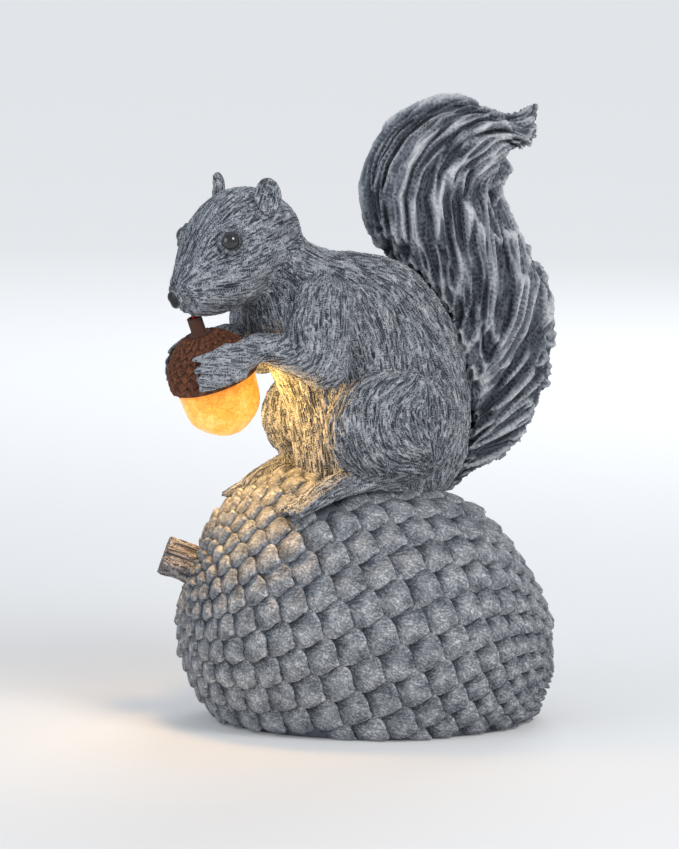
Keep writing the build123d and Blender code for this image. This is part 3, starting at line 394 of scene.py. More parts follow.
class Graph:
    """Builds one material's nodes."""

    def __init__(self, name: str) -> None:
        """Starts an empty material."""
        self.material = bpy.data.materials.new(name)
        self.material.use_nodes = True
        self.tree = self.material.node_tree
        self.tree.nodes.clear()
        self.output = self.tree.nodes.new("ShaderNodeOutputMaterial")
        self.shader = self.add("ShaderNodeBsdfPrincipled")
        self.tree.links.new(self.shader.outputs[0], self.output.inputs["Surface"])
        self.coords = self.add("ShaderNodeTexCoord").outputs["Object"]

    def add(self, kind: str, **settings: object) -> bpy.types.Node:
        """Adds a node and sets its properties."""
        node = self.tree.nodes.new(kind)
        for key, value in settings.items():
            setattr(node, key, value)
        return node

    def feed(self, socket: bpy.types.NodeSocket, value: object) -> None:
        """Links an output to a socket, or sets the socket's own value."""
        if isinstance(value, bpy.types.NodeSocket):
            self.tree.links.new(value, socket)
        else:
            socket.default_value = value

    def noise(self, size: float, detail: float = 3, rough: float = 0.55, at: object = None) -> bpy.types.NodeSocket:
        """Adds noise whose lumps measure size millimetres."""
        node = self.add("ShaderNodeTexNoise")
        self.feed(node.inputs["Vector"], at or self.coords)
        node.inputs["Scale"].default_value = 1 / (size * MM)
        node.inputs["Detail"].default_value = detail
        node.inputs["Roughness"].default_value = rough
        return node.outputs["Fac"]

    def combed(self, width: float, length: float, taps: int) -> bpy.types.NodeSocket:
        """Adds noise that is drawn out along the flow attribute.

        Args:
            width: Width of a stroke in millimetres.
            length: Length of a stroke in millimetres.
            taps: How many places along it are averaged.

        Returns:
            A value round 0.5.
        """
        flow = self.attribute(Field.FLOW, "Vector")
        total = None
        for tap in range(taps):
            shift = self.add("ShaderNodeVectorMath", operation="MULTIPLY_ADD")
            self.feed(shift.inputs[0], flow)
            offset = (tap / (taps - 1) - 0.5) * length * MM
            shift.inputs[1].default_value = (offset, offset, offset)
            self.feed(shift.inputs[2], self.coords)
            value = self.noise(width, 0, 0.5, shift.outputs[0])
            total = value if total is None else self.math("ADD", total, value)
        return self.math("MULTIPLY", total, 1 / taps)

    def cracks(self, size: float) -> bpy.types.NodeSocket:
        """Adds the distance to the edges of cells that measure size millimetres."""
        node = self.add("ShaderNodeTexVoronoi", feature="DISTANCE_TO_EDGE")
        self.feed(node.inputs["Vector"], self.coords)
        node.inputs["Scale"].default_value = 1 / (size * MM)
        return node.outputs["Distance"]

    def math(self, way: str, first: object, second: object = 0.0, third: object = 0.0) -> bpy.types.NodeSocket:
        """Adds a calculation."""
        node = self.add("ShaderNodeMath", operation=way)
        for socket, value in zip(node.inputs, (first, second, third)):
            self.feed(socket, value)
        return node.outputs[0]

    def spread(self, value: object, low: float, high: float) -> bpy.types.NodeSocket:
        """Maps the range from low to high onto 0 to 1."""
        node = self.add("ShaderNodeMapRange", interpolation_type="SMOOTHSTEP")
        self.feed(node.inputs["Value"], value)
        node.inputs["From Min"].default_value = low
        node.inputs["From Max"].default_value = high
        return node.outputs["Result"]

    def attribute(self, name: Field, output: str = "Fac") -> bpy.types.NodeSocket:
        """Reads a point attribute."""
        return self.add("ShaderNodeAttribute", attribute_name=name.value).outputs[output]

    def tones(self, value: object, stops: list[tuple[float, Color]]) -> bpy.types.NodeSocket:
        """Adds a colour ramp."""
        node = self.add("ShaderNodeValToRGB")
        self.feed(node.inputs["Fac"], value)
        elements = node.color_ramp.elements
        while len(elements) < len(stops):
            elements.new(0.5)
        for element, (place, color) in zip(elements, stops):
            element.position = place
            element.color = (*color, 1)
        return node.outputs["Color"]

    def mix(self, share: object, first: object, second: object, way: str = "MIX") -> bpy.types.NodeSocket:
        """Mixes two colours."""
        node = self.add("ShaderNodeMix", data_type="RGBA", blend_type=way)
        self.feed(node.inputs["Factor"], share)
        for place, value in zip(COLOR_INPUTS, (first, second)):
            self.feed(node.inputs[place], value)
        return node.outputs[COLOR_OUTPUT]

    def bump(self, height: object, depth: float, under: object = None) -> bpy.types.NodeSocket:
        """Adds a bump of depth millimetres."""
        node = self.add("ShaderNodeBump")
        node.inputs["Distance"].default_value = depth * MM
        self.feed(node.inputs["Height"], height)
        if under is not None:
            self.feed(node.inputs["Normal"], under)
        return node.outputs["Normal"]

    def finish(self, **sockets: object) -> bpy.types.Material:
        """Feeds the shader's sockets and gives the material."""
        for name, value in sockets.items():
            self.feed(self.shader.inputs[name.replace("_", " ").title().replace("Ior", "IOR")], value)
        return self.material


@dataclass(frozen=True)
class Stone:
    """Cast stone: pale dry-brushed crests over a slate wash."""

    name: str
    low: Color = (0.022, 0.027, 0.036)
    middle: Color = (0.115, 0.130, 0.160)
    high: Color = (0.420, 0.440, 0.475)
    crest: Color = (0.680, 0.690, 0.710)
    relief_share: float = 0.45
    stroke: float = 1.0
    stroke_length: float = 6.0
    hair_share: float = 0.42
    pit: float = 0.9
    pit_depth: float = 0.30
    carved: bool = True

    def material(self) -> bpy.types.Material:
        """Builds the finish."""
        graph = Graph(self.name)
        fine = graph.noise(self.pit, 4, 0.65)
        patches = graph.noise(11, 3)
        if self.carved:
            relief = graph.attribute(Field.RELIEF)
            strokes = graph.combed(self.stroke, self.stroke_length, 7)
            away = graph.math("ABSOLUTE", graph.math("SUBTRACT", strokes, 0.5))
            hair = graph.math("SUBTRACT", 1.0, graph.spread(away, 0.0, 0.085))
        else:
            relief = graph.noise(2.4, 4, 0.7)
            hair = relief
        height = graph.math("MULTIPLY", relief, self.relief_share)
        height = graph.math("MULTIPLY_ADD", hair, self.hair_share, height)
        height = graph.math("MULTIPLY_ADD", fine, 0.16, height)
        height = graph.math("MULTIPLY_ADD", graph.math("SUBTRACT", patches, 0.5), 0.35, height)
        stops = [(0.12, self.low), (0.38, self.middle), (0.70, self.high), (0.95, self.crest)]
        color = graph.tones(height, stops)
        # The dark attribute holds the nose's black paint and painted shade in the groove round each eye; both turn
        # near black here.
        dark = graph.attribute(Field.DARK)
        color = graph.mix(dark, color, (0.012, 0.012, 0.014, 1))
        bare = graph.math("SUBTRACT", 1.0, dark)
        surface = graph.math("MULTIPLY_ADD", hair, 1.4, fine) if self.carved else fine
        normal = graph.bump(graph.math("MULTIPLY", surface, bare), self.pit_depth)
        rough = graph.math("MULTIPLY_ADD", dark, -0.5, 0.84)
        return graph.finish(base_color=color, roughness=rough, normal=normal)


@dataclass(frozen=True)
class Crag:
    """Pitted scale faces with cracks that fan out from the root."""

    name: str
    low: Color
    middle: Color
    high: Color
    crest: Color
    pit: float = 1.0
    fan: float = 9.0

    def material(self) -> bpy.types.Material:
        """Builds the finish."""
        graph = Graph(self.name)
        relief = graph.attribute(Field.RELIEF)
        place = graph.add("ShaderNodeSeparateXYZ")
        graph.feed(place.inputs[0], graph.attribute(Field.PLACE, "Vector"))
        run, side, key = place.outputs
        turn = graph.math("ARCTAN2", side, graph.math("ADD", run, 0.55))
        square = graph.math("MULTIPLY_ADD", side, side, graph.math("MULTIPLY", run, run))
        reach = graph.math("SQRT", square)
        polar = graph.add("ShaderNodeCombineXYZ")
        graph.feed(polar.inputs[0], graph.math("MULTIPLY", turn, self.fan))
        graph.feed(polar.inputs[1], graph.math("MULTIPLY", reach, 1.4))
        graph.feed(polar.inputs[2], graph.math("MULTIPLY", key, 40.0))
        fans = graph.add("ShaderNodeTexNoise")
        graph.feed(fans.inputs["Vector"], polar.outputs[0])
        fans.inputs["Scale"].default_value = 1
        fans.inputs["Detail"].default_value = 2
        away = graph.math("ABSOLUTE", graph.math("SUBTRACT", fans.outputs["Fac"], 0.5))
        crack = graph.spread(away, 0.0, 0.06)
        pits = graph.spread(graph.noise(self.pit, 4, 0.6), 0.40, 0.56)
        height = graph.math("MULTIPLY_ADD", relief, 0.80, graph.math("MULTIPLY", pits, 0.17))
        height = graph.math("MULTIPLY_ADD", crack, 0.14, height)
        patches = graph.math("SUBTRACT", graph.noise(14, 2), 0.5)
        height = graph.math("MULTIPLY_ADD", patches, 0.30, height)
        stops = [(0.15, self.low), (0.45, self.middle), (0.78, self.high), (0.98, self.crest)]
        surface = graph.math("MULTIPLY_ADD", crack, 0.55, pits)
        normal = graph.bump(graph.noise(0.4, 3), 0.08, graph.bump(surface, 0.35))
        return graph.finish(base_color=graph.tones(height, stops), roughness=0.84, normal=normal)


@dataclass(frozen=True)
class Amber:
    """Crackled amber, lit from within and paler toward its tip."""

    name: str
    top: float
    bottom: float

    def material(self) -> bpy.types.Material:
        """Builds the finish."""
        graph = Graph(self.name)
        split = graph.add("ShaderNodeSeparateXYZ")
        graph.feed(split.inputs[0], graph.coords)
        rise = graph.spread(split.outputs["Z"], self.bottom, self.top)
        clouds = graph.noise(7, 5, 0.65)
        veins = graph.spread(graph.cracks(3.2), 0.0, 0.10)
        value = graph.math("MULTIPLY_ADD", clouds, 0.9, graph.math("MULTIPLY", rise, 0.35))
        value = graph.math("MULTIPLY_ADD", veins, -0.10, value)
        stops = [
            (0.25, (1.0, 0.66, 0.20)),
            (0.50, (1.0, 0.45, 0.05)),
            (0.72, (0.92, 0.26, 0.015)),
            (0.95, (0.75, 0.15, 0.01)),
        ]
        color = graph.tones(value, stops)
        normal = graph.bump(graph.noise(2.2, 4), 0.3, graph.bump(veins, 0.15))
        material = graph.finish(base_color=color, emission_color=color, roughness=0.28, normal=normal)
        graph.shader.inputs["Emission Strength"].default_value = 0.55
        graph.shader.inputs["Coat Weight"].default_value = 0.3
        return material


@dataclass(frozen=True)
class Moulding:
    """Moulded plastic, rubber or enamel with a fine grain."""

    name: str
    color: Color
    roughness: float = 0.5
    grain: float = 0.6
    grain_depth: float = 0.03
    coat: float = 0.0

    def material(self) -> bpy.types.Material:
        """Builds the finish."""
        graph = Graph(self.name)
        shade = graph.noise(9, 3)
        pale = tuple(min(1.0, part * 1.25 + 0.01) for part in self.color)
        color = graph.tones(shade, [(0.3, self.color), (0.75, pale)])
        rough = graph.math("MULTIPLY_ADD", graph.noise(3, 2), 0.15, self.roughness - 0.07)
        normal = graph.bump(graph.noise(self.grain, 2), self.grain_depth)
        material = graph.finish(base_color=color, roughness=rough, normal=normal)
        graph.shader.inputs["Coat Weight"].default_value = self.coat
        return material


@dataclass(frozen=True)
class Metal:
    """Bare or plated metal with fine draw marks."""

    name: str
    color: Color
    roughness: float = 0.32

    def material(self) -> bpy.types.Material:
        """Builds the finish."""
        graph = Graph(self.name)
        rough = graph.math("MULTIPLY_ADD", graph.noise(1.2, 3), 0.25, self.roughness - 0.1)
        normal = graph.bump(graph.noise(0.5, 2), 0.02)
        pale = tuple(min(1.0, part * 1.12) for part in self.color)
        color = graph.tones(graph.noise(5, 3), [(0.35, self.color), (0.7, pale)])
        material = graph.finish(base_color=color, roughness=rough, normal=normal)
        graph.shader.inputs["Metallic"].default_value = 1
        return material


@dataclass(frozen=True)
class Cells:
    """Dark solar cells with thin pale conductors, under a clear face."""

    name: str
    across: float = 10.0

    def material(self) -> bpy.types.Material:
        """Builds the finish."""
        graph = Graph(self.name)
        lines = graph.add("ShaderNodeTexBrick", offset=0.0)
        graph.feed(lines.inputs["Vector"], graph.coords)
        lines.inputs["Scale"].default_value = 1 / (self.across * MM)
        lines.inputs["Mortar Size"].default_value = 0.03
        lines.inputs["Color1"].default_value = (0.006, 0.010, 0.028, 1)
        lines.inputs["Color2"].default_value = (0.010, 0.014, 0.040, 1)
        lines.inputs["Mortar"].default_value = (0.16, 0.17, 0.19, 1)
        color = graph.mix(graph.noise(5, 4), lines.outputs["Color"], (0.012, 0.016, 0.045, 1))
        rough = graph.math("MULTIPLY_ADD", graph.noise(4, 2), 0.1, 0.12)
        normal = graph.bump(lines.outputs["Fac"], 0.02)
        material = graph.finish(base_color=color, roughness=rough, normal=normal)
        graph.shader.inputs["Coat Weight"].default_value = 0.6
        return material


@dataclass
class Workshop:
    """What every sub-assembly needs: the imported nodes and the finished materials."""

    nodes: dict[str, bpy.types.Object]
    body: str = "figurine"
    quick: bool = False
    finishes: dict[str, bpy.types.Material] = field(default_factory=dict)

    def coat(self, key: str, piece: bpy.types.Object) -> None:
        """Gives a piece one of the finishes."""
        piece.data.materials.clear()
        piece.data.materials.append(self.finishes[key])

    def seat(self, piece: bpy.types.Object, finish: str, slot: str, *nodes: str) -> None:
        """Finishes a new piece and lets it stand for CAD nodes.

        Args:
            piece: The new piece.
            finish: Its finish.
            slot: Not used.
            nodes: The CAD nodes that it replaces.
        """
        self.coat(finish, piece)
        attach(piece, self.body)
        if nodes:
            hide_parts(*nodes)
        LOG.info("%s: %d faces", piece.name, len(piece.data.polygons))


@dataclass
class Guide:
    """A place on the torso and the way that its fur lies there, in the squirrel's directions."""

    along: float
    up: float
    toward: float
    down: float


@dataclass
class Animal:
    """Head, torso, arms and legs as one carved skin, parted afterwards into its pieces."""

    shop: Workshop
    voxel: float = 1.0
    guides: tuple[Guide, ...] = (
        Guide(-52, 88, 0.75, 0.45),
        Guide(-40, 70, 0.45, 0.85),
        Guide(-42, 45, 0.10, 1.0),
        Guide(-38, 15, 0.05, 1.0),
        Guide(-25, 85, 0.75, 0.70),
        Guide(-10, 70, 0.35, 0.95),
        Guide(0, 92, 0.90, 0.50),
        Guide(22, 75, 0.55, 0.85),
        Guide(5, 55, 0.05, 1.0),
        Guide(38, 50, 0.45, 0.90),
        Guide(42, 22, -0.05, 1.0),
    )
    hollow: tuple[tuple[float, float, float, float, float], ...] = (
        (-0.275, -0.20, 0.450, -0.20, 0.36),
        (-0.300, 0.00, 0.480, -0.03, 0.42),
        (-0.325, 0.16, 0.588, 0.12, 0.48),
        (-0.363, 0.30, 0.606, 0.30, 0.50),
        (-0.425, 0.42, 0.569, 0.50, 0.48),
        (-0.513, 0.53, 0.463, 0.71, 0.45),
        (-0.588, 0.62, 0.275, 0.87, 0.42),
    )
    arm_path: tuple[tuple[float, float, float], ...] = (
        (-26, 23, 84),
        (-30, 26, 64),
        (-29, 29, 50),
        (-45, 22, 46),
        (-58, 12, 47),
        (-70, 4, 49),
    )
    foot_path: tuple[tuple[float, float, float], ...] = (
        (14, 25, 8),
        (-12, 26, 5),
        (-28, 26, 1),
        (-38, 26, -4),
        (-52, 26, -13),
    )
    stroke_width: float = 0.9
    stroke_length: float = 8.0

    def head_frame(self) -> tuple[Vector, Vector, Vector, Vector]:
        """Gives the head's origin and its forward, left-right and up directions."""
        turn, nod = math.radians(12), math.radians(27)
        origin = POSE.point(-57.3, -2.2, 97)
        level = (POSE.point(-math.cos(turn), -math.sin(turn), 0) - POSE.point(0, 0, 0)).normalized()
        up = Vector((0, 0, 1))
        forward = level * math.cos(nod) - up * math.sin(nod)
        crown = level * math.sin(nod) + up * math.cos(nod)
        return origin, forward, crown.cross(forward), crown

    def filled(self) -> bmesh.types.BMesh:
        """Copies the animal's nodes and fills the hollow of the torso."""
        names = [coat.value for coat in Coat] + ["eye_left", "eye_right"]
        form = merged(*(self.shop.nodes[name] for name in names))
        for first, second in zip(self.hollow, self.hollow[1:]):
            for share in (0.0, 0.33, 0.67):
                row = [a + (b - a) * share for a, b in zip(first, second)]
                front = POSE.point(row[0] * 80, 0, row[1] * 100)
                back = POSE.point(row[2] * 80, 0, row[3] * 100)
                chord = back - front
                across = (POSE.point(0, 1, 0) - POSE.point(0, 0, 0)).normalized()
                lift = chord.normalized().cross(across)
                turn = Matrix((chord.normalized(), across, lift)).transposed()
                radii = Vector((chord.length / 2 - 2 * MM, (row[4] * 64 - 2) * MM, 7 * MM))
                ball(form, (front + back) / 2, turn, radii)
        origin, forward, _, _ = self.head_frame()
        ball(form, origin - forward * 4 * MM, Matrix.Identity(3), Vector((15, 15, 15)) * MM)
        return form

    def nearness(self, points: Array) -> Array:
        """Measures each point's distance to the surface of each CAD node.

        Args:
            points: Places in metres.

        Returns:
            One column for each Coat.
        """
        far = 30 * MM
        columns = []
        for coat in Coat:
            tree = tree_of(self.shop.nodes[coat.value])
            columns.append([tree.find_nearest(Vector(point), far)[3] or far for point in points])
        return np.array(columns).T

    def torso_flow(self, own: Array) -> Array:
        """Blends the guides' directions by their distance."""
        total = np.zeros_like(own)
        for guide in self.guides:
            gap = (own[:, 0] - guide.along) ** 2 + (own[:, 2] - guide.up) ** 2 + 9
            weight = gap**-1.5
            total[:, 0] += weight * guide.toward
            total[:, 2] -= weight * guide.down
        return unit(total)

    @staticmethod
    def haunch_flow(own: Array) -> Array:
        """Lets the fur sweep round the oval haunch and meet at the heel."""
        flat = own[:, [0, 2]]
        spoke = flat - np.array([4.0, 26.0])
        around = unit(np.stack([-spoke[:, 1], spoke[:, 0]], axis=1))
        sink = unit(np.array([15.0, 3.0]) - flat)
        left = ramp(flat[:, 0], 22, -6)[:, None] * ramp(np.linalg.norm(spoke, axis=1), 3, 12)[:, None]
        pull = around * left * 1.3 + sink * (1.15 - 0.75 * left)
        return unit(np.stack([pull[:, 0], np.zeros(len(own)), pull[:, 1]], axis=1))

    @staticmethod
    def path_flow(own: Array, path: tuple[tuple[float, float, float], ...]) -> Array:
        """Follows a limb's path, mirrored to the side that each point lies on."""
        side = np.where(own[:, 1] < 0, -1.0, 1.0)
        folded = own.copy()
        folded[:, 1] = np.abs(own[:, 1])
        total = np.zeros_like(own)
        for start, end in zip(np.array(path), np.array(path)[1:]):
            run = end - start
            share = np.clip((folded - start) @ run / (run @ run), 0, 1)
            gap = np.sum((folded - start - share[:, None] * run) ** 2, axis=1) + 4
            total += run / np.linalg.norm(run) * (gap**-2.5)[:, None]
        total[:, 1] *= side
        return unit(total)

    def flow(self, labels: Array, skin: Array) -> Callable[[Array], Array]:
        """Gives the function that lays the fur.

        Args:
            labels: The Coat number of each point.
            skin: The normals.

        Returns:
            A function from places in millimetres to unit directions along the skin.
        """
        numbers = {coat: number for number, coat in enumerate(Coat)}
        nose = np.array(self.nose()) / MM

        def lie(points: Array) -> Array:
            """Gives the way of the fur at places in millimetres."""
            own = POSE.own(points * MM)
            ways = POSE.outer(self.torso_flow(own))
            leg = (labels == numbers[Coat.LEG_NEAR]) | (labels == numbers[Coat.LEG_FAR])
            arm = (labels == numbers[Coat.ARM_NEAR]) | (labels == numbers[Coat.ARM_FAR])
            head = labels == numbers[Coat.HEAD]
            if leg.any():
                low = ramp(own[leg][:, 2], 11, 4)[:, None] * ramp(own[leg][:, 0], 18, 4)[:, None]
                mixed = self.haunch_flow(own[leg]) * (1 - low) + self.path_flow(own[leg], self.foot_path) * low
                ways[leg] = POSE.outer(unit(mixed))
            if arm.any():
                ways[arm] = POSE.outer(self.path_flow(own[arm], self.arm_path))
            if head.any():
                back = unit(points[head] - nose)
                back[:, 2] -= 0.25
                ways[head] = back
            ways = ways - np.sum(ways * skin, axis=1, keepdims=True) * skin
            return unit(ways)

        return lie

    def nose(self) -> Vector:
        """Gives the place of the nose."""
        origin, forward, _, crown = self.head_frame()
        return origin + forward * 30 * MM - crown * 3.8 * MM

    def eye_places(self) -> list[tuple[Vector, Vector]]:
        """Gives each eye's middle and the way that it looks."""
        origin, forward, _, crown = self.head_frame()
        places = []
        for name in ("eye_left", "eye_right"):
            low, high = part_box(name)
            middle = (Vector(low) + Vector(high)) / 2
            offset = middle - origin
            look = offset - forward * offset.dot(forward) - crown * offset.dot(crown)
            places.append((middle, (look.normalized() + forward * 0.25 + crown * 0.22).normalized()))
        return places

    def build(self) -> None:
        """Carves the skin and parts it into its pieces."""
        quick = self.shop.quick
        piece = remeshed("animal", self.filled(), 2.0 if quick else self.voxel, 0)
        mesh = piece.data
        points, pairs = positions(mesh), edge_pairs(mesh)
        near = self.nearness(points)
        order = np.sort(near, axis=1)
        own = POSE.own(points)
        ranks = np.argsort(near, axis=1)[:, :2]
        pair = {frozenset((0, 1)), frozenset((0, 2)), frozenset((0, 3))}
        soft = np.array([frozenset(row) in pair for row in ranks.tolist()])
        seam = ramp(order[:, 1] / MM, 7.0, 1.5) * soft
        by_arm = (ranks == 2).any(axis=1) | (ranks == 3).any(axis=1)
        seam *= np.where(by_arm, ramp(own[:, 2], 46, 60), 1)
        points = relaxed(points, pairs, 30, seam * 0.9)
        points = relaxed(points, pairs, 3, 0.5)
        place_points(mesh, points)
        for number, coat in enumerate(Coat):
            store(mesh, coat.value, near[:, number] / MM)
        if not quick:
            subdivide(piece, 1)
            mesh = piece.data
        self.carve(mesh)
        self.part(piece)

    def carve(self, mesh: bpy.types.Mesh) -> None:
        """Cuts the fur, lids, nose and mouth, and notes how high each point stands."""
        points, pairs = positions(mesh), edge_pairs(mesh)
        skin = unit(relaxed(normals(mesh), pairs, 4))
        near = np.stack([read(mesh, coat.value) for coat in Coat], axis=1)
        labels = np.argmin(near, axis=1)
        flat = points / MM
        lie = self.flow(labels, skin)
        small = (labels == 1) | (labels == 2) | (labels == 3)
        coarse = Grain(11).strokes(flat, lie, 2.2, 14)
        long = ridges(Grain(3).strokes(flat, lie, self.stroke_width, self.stroke_length), 1.15)
        short = ridges(Grain(5).strokes(flat, lie, 0.75, 4.5), 1.1)
        fur = np.where(small, 0.35 * long + 0.65 * short, 0.80 * long + 0.20 * short)
        own = POSE.own(points)
        depth = np.select([labels == 1, labels == 2, labels == 3], [0.42, 0.55, 0.55], 0.85)
        low_foot = (labels >= 4) * ramp(own[:, 2], 8, 2)
        depth = depth * (1 - 0.35 * low_foot)
        low, high = (Vector(corner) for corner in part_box("acorn_cap"))
        cap_gap = np.linalg.norm(points - np.array((low + high) / 2), axis=1) / MM
        hand = ramp(cap_gap, 27, 20) * ((labels == 2) | (labels == 3))
        depth = depth * (1 - 0.75 * hand)
        bare = np.zeros(len(points))
        lift = np.zeros(len(points))
        # dark holds the nose's black paint and painted shade in the groove round each eye.
        dark = np.zeros(len(points))
        for middle, look in self.eye_places():
            spoke = points - np.array(middle)
            forth = spoke @ np.array(look)
            gap = np.linalg.norm(spoke - forth[:, None] * np.array(look), axis=1) / MM
            gap = np.where(forth > 0, gap, 30)
            bare = np.maximum(bare, ramp(gap, 5.6, 4.6))
            lift -= 0.55 * np.exp(-((gap - 5.6) ** 2) / 0.25)
            lift += 0.75 * np.exp(-((gap - 4.5) ** 2) / 0.30)
            # Near black in the groove between lid and eye bead: painted shade.
            dark = np.maximum(dark, 0.9 * ramp(gap, 4.0, 3.7))
        _, forward, across, crown = self.head_frame()
        tip = np.array(self.nose() + forward * 4.0 * MM + crown * 0.8 * MM)
        tip_gap = np.linalg.norm(points - tip, axis=1) / MM
        snout = ramp(tip_gap, 4.4, 3.2)
        bare = np.maximum(bare, snout)
        lift += 0.5 * snout
        dark = np.maximum(dark, ramp(tip_gap, 3.4, 2.9))
        for side in (-1, 1):
            hole = self.nose() + forward * 4.2 * MM + across * side * 2.2 * MM - crown * 0.4 * MM
            lift -= 1.0 * np.exp(-(np.linalg.norm(points - np.array(hole), axis=1) / MM) ** 2 / 1.0)
        depth = depth * (1 - bare)
        clump = np.where(small, 0.15, 0.45) * (1 - bare) * (1 - hand)
        rise = lift + depth * (fur - 0.62) + clump * 0.5 * coarse
        place_points(mesh, points + skin * (rise * MM)[:, None])
        relief = 0.10 + 0.80 * fur + 0.07 * coarse
        relief = relief * (1 - hand * 0.6) + hand * 0.6 * 0.62
        relief = relief * (1 - bare) + bare * (0.45 + 0.35 * lift)
        store(mesh, Field.RELIEF.value, np.clip(relief, 0, 1))
        store(mesh, Field.DARK.value, np.clip(dark, 0, 1))
        ways = lie(flat) * (1 - 0.8 * bare)[:, None]
        store(mesh, Field.FLOW.value, ways)
        store(mesh, "label", labels.astype(float))

    def part(self, piece: bpy.types.Object) -> None:
        """Parts the skin into closed pieces, one for each node."""
        for number, coat in enumerate(Coat):
            form = bmesh.new()
            form.from_mesh(piece.data)
            layer = form.verts.layers.float["label"]
            others = [
                face for face in form.faces if round(min(vert[layer] for vert in face.verts)) != number
            ]
            bmesh.ops.delete(form, geom=others, context="FACES")
            groups = sorted(islands(form), key=len)
            bmesh.ops.delete(form, geom=[vert for group in groups[:-1] for vert in group], context="VERTS")
            rims = [edge for edge in form.edges if edge.is_boundary]
            for edge in rims:
                edge.smooth = False
            bmesh.ops.holes_fill(form, edges=rims, sides=0)
            part = fresh_object("fur_" + coat.value, form)
            for name in [coat.value for coat in Coat] + ["label"]:
                part.data.attributes.remove(part.data.attributes[name])
            self.shop.seat(part, "fur", "figure_stone", coat.value)
        bpy.data.objects.remove(piece)

    def eyes(self) -> None:
        """Makes the glossy eyes."""
        for (middle, look), name in zip(self.eye_places(), ("eye_left", "eye_right")):
            form = bmesh.new()
            spot = Matrix.Translation(middle + look * 0.95 * MM) @ look.to_track_quat("Z", "Y").to_matrix().to_4x4()
            bmesh.ops.create_uvsphere(form, u_segments=32, v_segments=20, radius=3.9 * MM, matrix=spot)
            self.shop.seat(fresh_object("glass_" + name, form), "eye", "eye_black", name)

    def ears(self) -> None:
        """Carves the cupped ears."""
        for name in ("ear_left", "ear_right"):
            piece = remeshed("fur_" + name, merged(self.shop.nodes[name]), 0.55, 0 if self.shop.quick else 1)
            mesh = piece.data
            pairs = edge_pairs(mesh)
            points = relaxed(positions(mesh), pairs, 4, 0.5)
            place_points(mesh, points)
            skin = unit(relaxed(normals(mesh), pairs, 3))
            upward = np.array([0.25, 0.1, 1.0])

            def lie(places: Array, skin: Array = skin) -> Array:
                """Lets the fur rise along the ear, wherever the places are."""
                ways = upward - (skin @ upward)[:, None] * skin
                return unit(ways)

            fur = ridges(Grain(21).strokes(points / MM, lie, 0.9, 4.0))
            place_points(mesh, points + skin * ((fur - 0.6) * 0.3 * MM)[:, None])
            store(mesh, Field.RELIEF.value, 0.15 + 0.75 * fur)
            store(mesh, Field.FLOW.value, lie(points))
            self.shop.seat(piece, "fur", "figure_stone", name)


